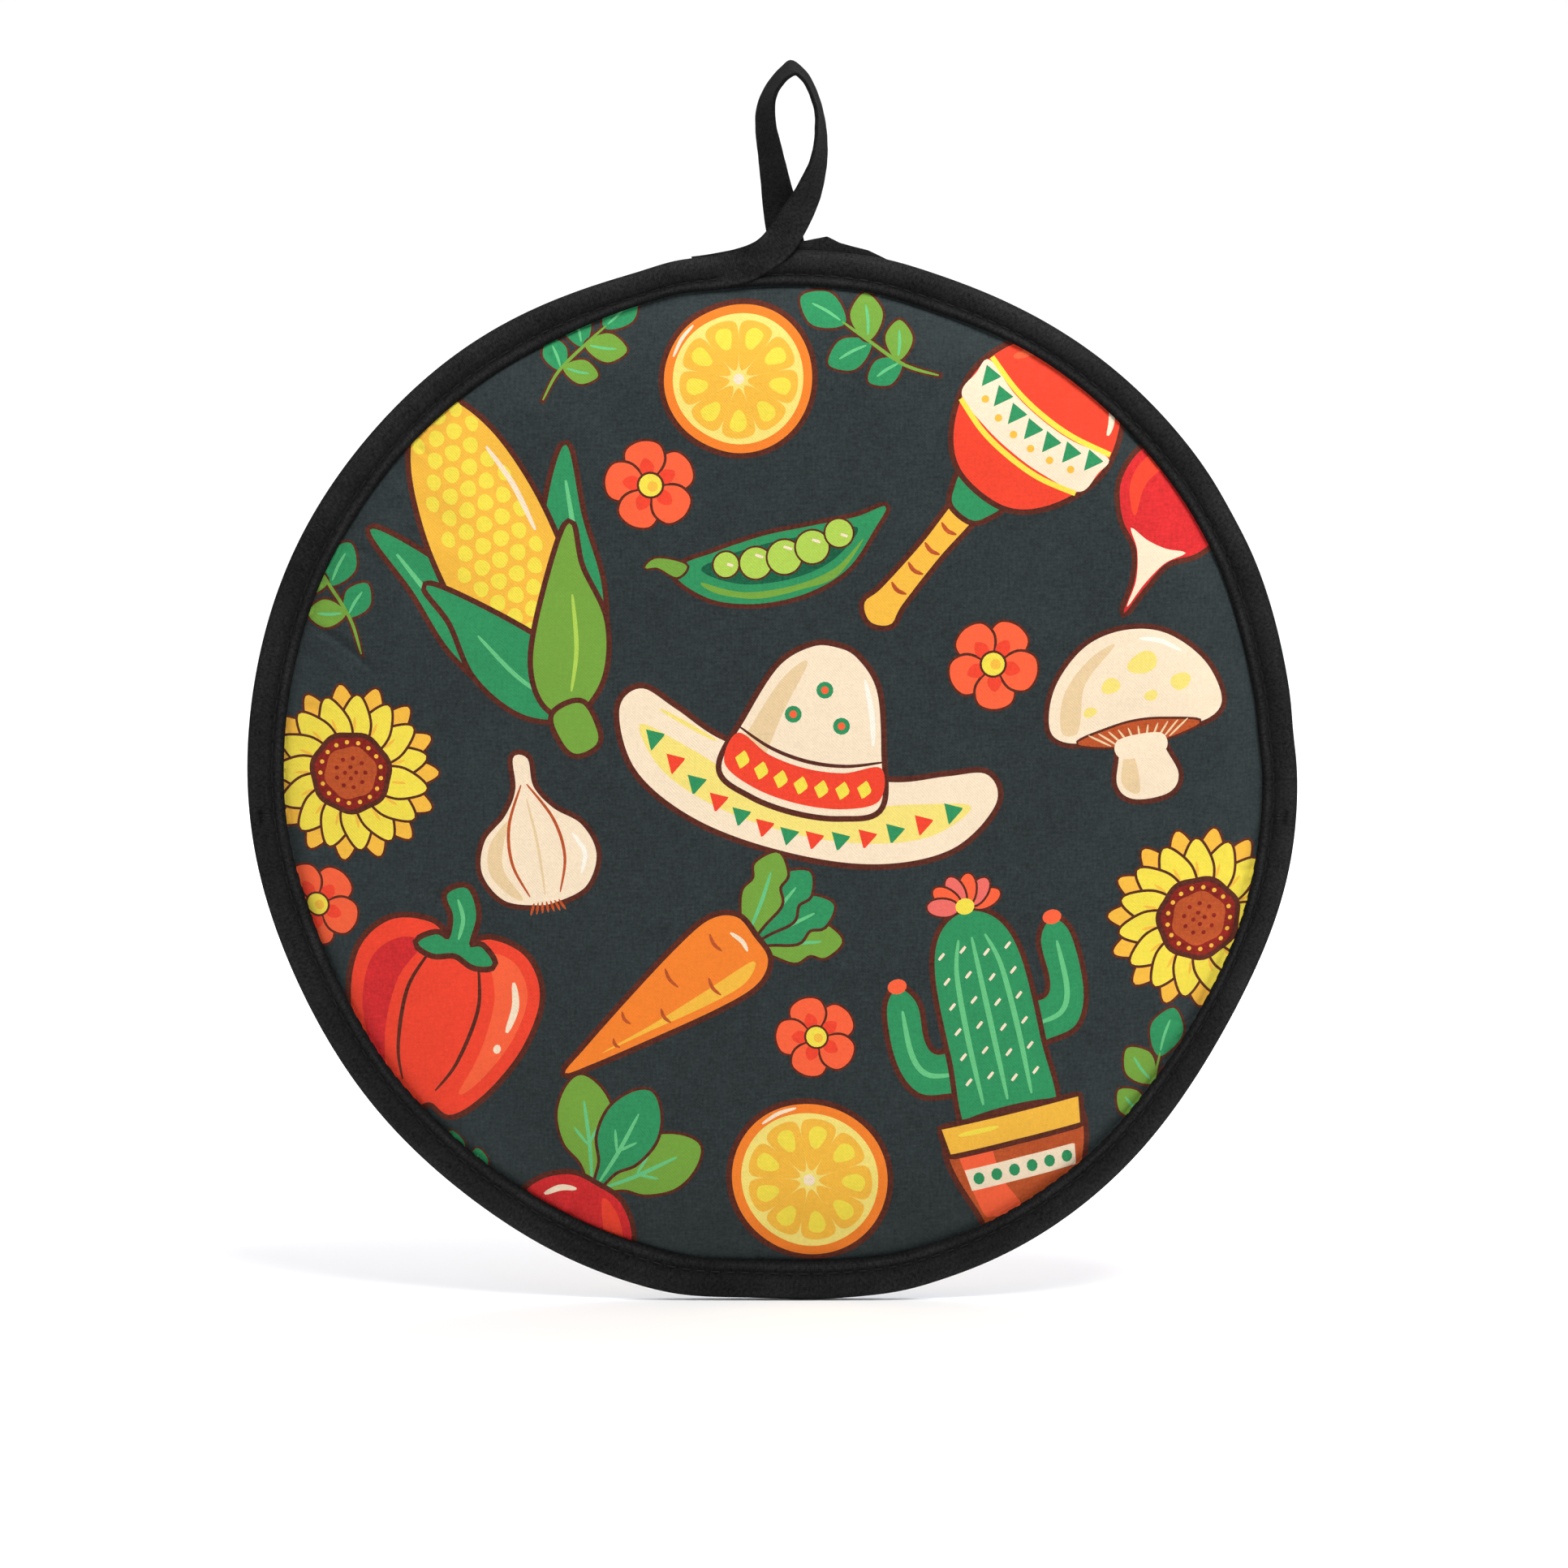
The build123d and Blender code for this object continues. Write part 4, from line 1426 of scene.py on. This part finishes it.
class Finish:
    """A material's nodes, for one kind of cloth or thread."""

    def __init__(self, name):
        self.material = bpy.data.materials.new(name)
        self.material.use_nodes = True
        self.tree = self.material.node_tree
        self.tree.nodes.clear()

    def node(self, kind, settings=None, inputs=None, output=0):
        """Adds a node with its settings, and then its sockets' values or wires."""
        made = self.tree.nodes.new(kind)
        for key, value in (settings or {}).items():
            setattr(made, key, value)
        for key, value in (inputs or {}).items():
            if isinstance(value, Wire):
                self.tree.links.new(value.socket, made.inputs[key])
            else:
                made.inputs[key].default_value = value
        return Wire(self, made.outputs[output])

    def cloth(self):
        """Where a point is on its own flat cloth, in metres."""
        return self.node("ShaderNodeUVMap", {"uv_map": "cloth"})

    def place(self):
        """Where a point is on the piece, in metres."""
        return self.node("ShaderNodeTexCoord", output="Object")

    def stretched(self, where, x, y, z=1.0, turn=0.0):
        inputs = {"Vector": where, "Scale": (x, y, z), "Rotation": (0, 0, turn)}
        return self.node("ShaderNodeMapping", {}, inputs)

    def noise(self, where, scale, detail, roughness=0.5):
        inputs = {"Vector": where, "Scale": scale, "Detail": detail, "Roughness": roughness}
        return self.node("ShaderNodeTexNoise", {}, inputs)

    def weave(self, where, pitch, turn=0.0):
        """Plain weave: threads that pass over and under each other, pitch apart, not quite even."""
        where = self.stretched(where, 1, 1, 1, turn)
        x = self.node("ShaderNodeSeparateXYZ", {}, {0: where}, "X")
        y = self.node("ShaderNodeSeparateXYZ", {}, {0: where}, "Y")
        drift = self.noise(where, 0.12 / pitch, 1.0) * (2.5 * math.pi)
        warp = (x * (math.pi / pitch) + drift).sin()
        weft = (y * (math.pi / pitch) + drift * 0.8).sin()
        return warp * weft * 0.5 + 0.5

    def shade(self, colour, factor):
        """A colour made lighter or darker. It may be a wire, or red, green and blue."""
        return self.node("ShaderNodeVectorMath", {"operation": "SCALE"}, {0: colour, "Scale": factor})

    def mix(self, factor, a, b):
        return self.node("ShaderNodeMix", {"data_type": "RGBA"}, {0: factor, 6: a, 7: b}, 2)

    def done(self, colour, roughness, constants, height=None, depth=0.0001, strength=1.0):
        """Ends the finish: its colour, roughness and raised detail go into the shader."""
        inputs = {"Base Color": colour, "Roughness": roughness, **constants}
        if height is not None:
            bump = {"Height": height, "Distance": depth, "Strength": strength}
            inputs["Normal"] = self.node("ShaderNodeBump", {}, bump)
        shader = self.node("ShaderNodeBsdfPrincipled", {}, inputs)
        out = self.tree.nodes.new("ShaderNodeOutputMaterial")
        self.tree.links.new(shader.socket, out.inputs["Surface"])
        return self.material


def printed_canvas():
    """Matte cotton canvas with the print in its own colours."""
    f = Finish("printed_canvas")
    cloth = f.cloth()
    ink = f.node("ShaderNodeAttribute", {"attribute_name": "print"}, output="Color")
    weave = f.weave(cloth, 0.00042)
    slub = f.noise(f.stretched(cloth, 240, 1500), 1.0, 3.0, 0.7)
    thread = f.noise(f.stretched(cloth, 1400, 260), 1.0, 3.0, 0.7)
    fluff = f.noise(cloth, 1100.0, 2.0, 0.6)
    washed = f.noise(cloth, 170.0, 4.0, 0.65)
    broad = f.noise(cloth, 30.0, 3.0, 0.55)
    to_edge = f.node("ShaderNodeVectorMath", {"operation": "LENGTH"}, {0: cloth}, 1).ramp(0.118, 0.139)
    # Light ink covers the cloth's own unevenness; dark ink shows it
    light_ink = f.node("ShaderNodeRGBToBW", {}, {0: ink}).ramp(0.03, 0.3)
    mottle = (weave - 0.5) * 0.12 + (slub + thread - 1.0) * 0.6 + (fluff - 0.5) * 0.75 + (washed - 0.5) * 0.35
    mottle = mottle + (broad - 0.5) * 0.3 + to_edge * broad * 0.22
    tone = 0.75 + light_ink * 0.05 + mottle * (1.2 - light_ink * 1.0)
    height = weave * 0.6 + slub * 0.6 + thread * 0.5 + fluff * 0.4
    roughness = 0.82 + (broad - 0.5) * 0.12
    constants = {"Specular IOR Level": 0.14, "Sheen Weight": 0.04, "Sheen Roughness": 0.5}
    return f.done(f.shade(ink, tone), roughness, constants, height, 0.00014, 0.8)


def bias_tape():
    """Black cotton tape cut on the bias, a little fluffy on its folds."""
    f = Finish("black_bias_tape")
    cloth = f.cloth()
    weave = f.weave(cloth, 0.0004, math.radians(45))
    slub = f.noise(f.stretched(cloth, 1300, 1000, 1, math.radians(45)), 1.0, 3.0, 0.6)
    broad = f.noise(f.place(), 110.0, 4.0, 0.6)
    wear_and_light = f.node("ShaderNodeAttribute", {"attribute_name": "wear_and_light"}, output="Fac")
    tone = 0.0105 + weave * 0.004 + (slub - 0.5) * 0.038 + (broad - 0.5) * 0.014
    # The wear share darkens the tape's colour as painted shade in its folds and lightens it as painted
    # highlight on its ridges, besides real wear
    tone = tone * (0.45 + wear_and_light * 1.05)
    colour = f.shade((1.0, 1.0, 1.02), tone)
    roughness = 0.8 + (broad - 0.5) * 0.2
    constants = {"Specular IOR Level": 0.06, "Sheen Weight": 0.008, "Sheen Roughness": 0.5}
    return f.done(colour, roughness, constants, weave * 0.5 + slub, 0.0002, 0.9)


def black_thread():
    """Black polyester sewing thread, twisted."""
    f = Finish("black_thread")
    place = f.place()
    twist = f.noise(f.stretched(place, 2600, 2600, 2600), 1.0, 2.0)
    tone = 0.009 + (twist - 0.3) * 0.007
    colour = f.shade((1.0, 1.0, 1.03), tone)
    return f.done(colour, 0.6 + (twist - 0.5) * 0.3, {"Specular IOR Level": 0.1}, twist, 0.00008, 0.8)


def cotton_lining():
    """Unbleached plain cotton."""
    f = Finish("natural_cotton_lining")
    cloth = f.cloth()
    weave = f.weave(cloth, 0.00045)
    slub = f.noise(f.stretched(cloth, 200, 2200), 1.0, 3.0, 0.6)
    broad = f.noise(cloth, 30.0, 3.0, 0.6)
    warm = f.mix(slub.ramp(0.45, 0.75), (0.78, 0.74, 0.66, 1), (0.62, 0.55, 0.43, 1))
    tone = 0.93 + weave * 0.07 + (broad - 0.5) * 0.12
    roughness = 0.85 + (broad - 0.5) * 0.1
    constants = {"Specular IOR Level": 0.2, "Sheen Weight": 0.08}
    return f.done(f.shade(warm, tone), roughness, constants, weave * 0.6 + slub * 0.5, 0.00016, 0.8)


def silver_film():
    """Thin aluminised film, crinkled."""
    f = Finish("silver_film")
    cloth = f.cloth()
    crinkle = f.noise(cloth, 160.0, 5.0, 0.62)
    fine = f.noise(cloth, 900.0, 3.0, 0.6)
    tone = 0.72 + (fine - 0.5) * 0.16
    colour = f.shade((0.96, 0.97, 1.0), tone)
    return f.done(colour, 0.22 + fine * 0.2, {"Metallic": 1.0}, crinkle + fine * 0.3, 0.0006, 0.8)


def cotton_wadding():
    """Loose white needled wadding."""
    f = Finish("white_wadding")
    place = f.place()
    fluff = f.noise(place, 420.0, 5.0, 0.7)
    lumps = f.noise(place, 90.0, 2.0)
    tone = 0.78 + (fluff - 0.5) * 0.24 + (lumps - 0.5) * 0.1
    colour = f.shade((1.0, 0.99, 0.96), tone)
    constants = {"Specular IOR Level": 0.1, "Sheen Weight": 0.2}
    return f.done(colour, 0.95, constants, fluff + lumps, 0.0008, 0.9)


def dress(obj, material, slot_name, *nodes):
    """Gives a piece its finish and hides the CAD nodes it stands for. slot_name is not used."""
    obj.data.materials.clear()
    obj.data.materials.append(material)
    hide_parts(*nodes)
    return obj


# ------------------------------------------------------------------ making the pouch
canvas = printed_canvas()
tape = bias_tape()
thread = black_thread()
layer_finishes = {
    "cover": (canvas, "printed_cover"),
    "wadding": (cotton_wadding(), "wadding"),
    "film": (silver_film(), "reflective_film"),
    "lining": (cotton_lining(), "lining"),
}

SETTLED["front"] = settled_cloth(3)
SETTLED["back"] = settled_cloth(8)
plain_net = net(5.0, 3.0)
stitch = stitch_unit()
tack_thread = tack_unit()
for side, layout in (("front", FRONT), ("back", BACK)):
    made = {}
    for layer, (finish, slot_name) in layer_finishes.items():
        if layer == "cover":
            obj = make_cover(side, layout, plain_net)
        else:
            obj = make_layer(side, layer, plain_net, plain_net)
        made[layer] = dress(obj, finish, slot_name, f"{side}_lip_{layer}", f"{side}_base_{layer}")
    for part, obj, finish, slot_name in (
        ("binding", make_binding(side), tape, "binding_tape"),
        ("stitching", make_edge_stitches(side, stitch), thread, "thread"),
    ):
        made[part] = dress(obj, finish, slot_name, f"{side}_lip_{part}", f"{side}_base_{part}")
    for obj in made.values():
        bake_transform(obj)

seam = dress(make_closing_seam(stitch), thread, "thread", "closing_seam")
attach(seam, "sewn_half")
for name, direction in (("left_corner_tack", -1), ("right_corner_tack", 1)):
    tack = dress(make_corner_tack(name + "_threads", direction, tack_thread), thread, "thread", name)
    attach(tack, "sewn_half")

hanging_tape = dress(make_hanging_tape(), tape, "binding_tape", "hanging_loop", "loop_strap")
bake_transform(hanging_tape)
tail = dress(make_loop_tail(), tape, "binding_tape", "loop_tail")
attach(tail, "front_lip")
loop_tack = dress(make_loop_tack(stitch), thread, "thread", "loop_tack")
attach(loop_tack, "front_lip")

for unit in (stitch, tack_thread):
    bpy.data.objects.remove(unit)

# ------------------------------------------------------------------ floor, light and camera
visual_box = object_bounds()
FLOOR_Z = visual_box[0][2] - 0.0002
AIM = Vector((-0.00443, -0.004, -0.20123))
CAMERA_TILT = math.radians(4)
CAMERA_WIDTH = 0.4463


def make_sweep():
    """The pale floor, which curves up into a backdrop far behind."""
    sweep = begun(bpy.ops.mesh.primitive_plane_add, size=8, location=(0, 0, FLOOR_Z))
    sweep.name = "sweep"
    select_where(sweep, lambda point: point.y > 3.9)
    bpy.ops.mesh.extrude_edges_move(TRANSFORM_OT_translate={"value": (0, 0, 4)})
    select_where(sweep, lambda point: point.y > 3.9 and point.z < 1)
    bpy.ops.mesh.bevel(offset=2.0, segments=24, affect="EDGES")
    bpy.ops.object.mode_set(mode="OBJECT")
    bpy.ops.object.shade_smooth()
    paper = Finish("pale_paper")
    mottle = paper.noise(paper.place(), 3.0, 2.0)
    white = paper.shade((1.0, 1.0, 1.0), 0.94 + (mottle - 0.5) * 0.01)
    sweep.data.materials.append(paper.done(white, 0.9, {"Specular IOR Level": 0.0}))
    return sweep


def aimed(obj, place, aim):
    obj.location = place
    obj.rotation_euler = (Vector(aim) - Vector(place)).to_track_quat("-Z", "Y").to_euler()
    bpy.context.scene.collection.objects.link(obj)
    return obj


def soft_light(name, place, size, power, aim, spread=180, tint=(1, 1, 1)):
    """A large soft box, turned to what it lights."""
    data = bpy.data.lights.new(name, "AREA")
    data.shape = "DISK"
    data.size = size
    data.energy = power
    data.color = tint
    data.spread = math.radians(spread)
    return aimed(bpy.data.objects.new(name, data), place, aim)


def make_camera():
    """A long lens in front of the pouch, a little above it."""
    data = bpy.data.cameras.new("camera")
    data.lens = 135
    data.sensor_width = 36
    distance = CAMERA_WIDTH * data.lens / data.sensor_width
    place = AIM + Vector((0, -math.cos(CAMERA_TILT), math.sin(CAMERA_TILT))) * distance
    camera = aimed(bpy.data.objects.new("camera", data), place, AIM)
    bpy.context.scene.camera = camera
    return camera


make_sweep()
soft_light("key", (0.22, -0.55, 0.7), 0.65, 13, AIM)
soft_light("floor_light", (0, 1.1, 1.3), 1.4, 18, (0, 1.3, FLOOR_Z), 130, (0.9, 0.92, 1.0))
soft_light("backdrop_light", (0, 1.0, 2.6), 2.0, 67, (0, 4.2, 0.4))
world = bpy.data.worlds.new("studio")
world.use_nodes = True
world.node_tree.nodes["Background"].inputs["Color"].default_value = (1, 1, 1, 1)
world.node_tree.nodes["Background"].inputs["Strength"].default_value = 0.35
bpy.context.scene.world = world
bpy.context.scene.view_settings.view_transform = "Standard"
make_camera()
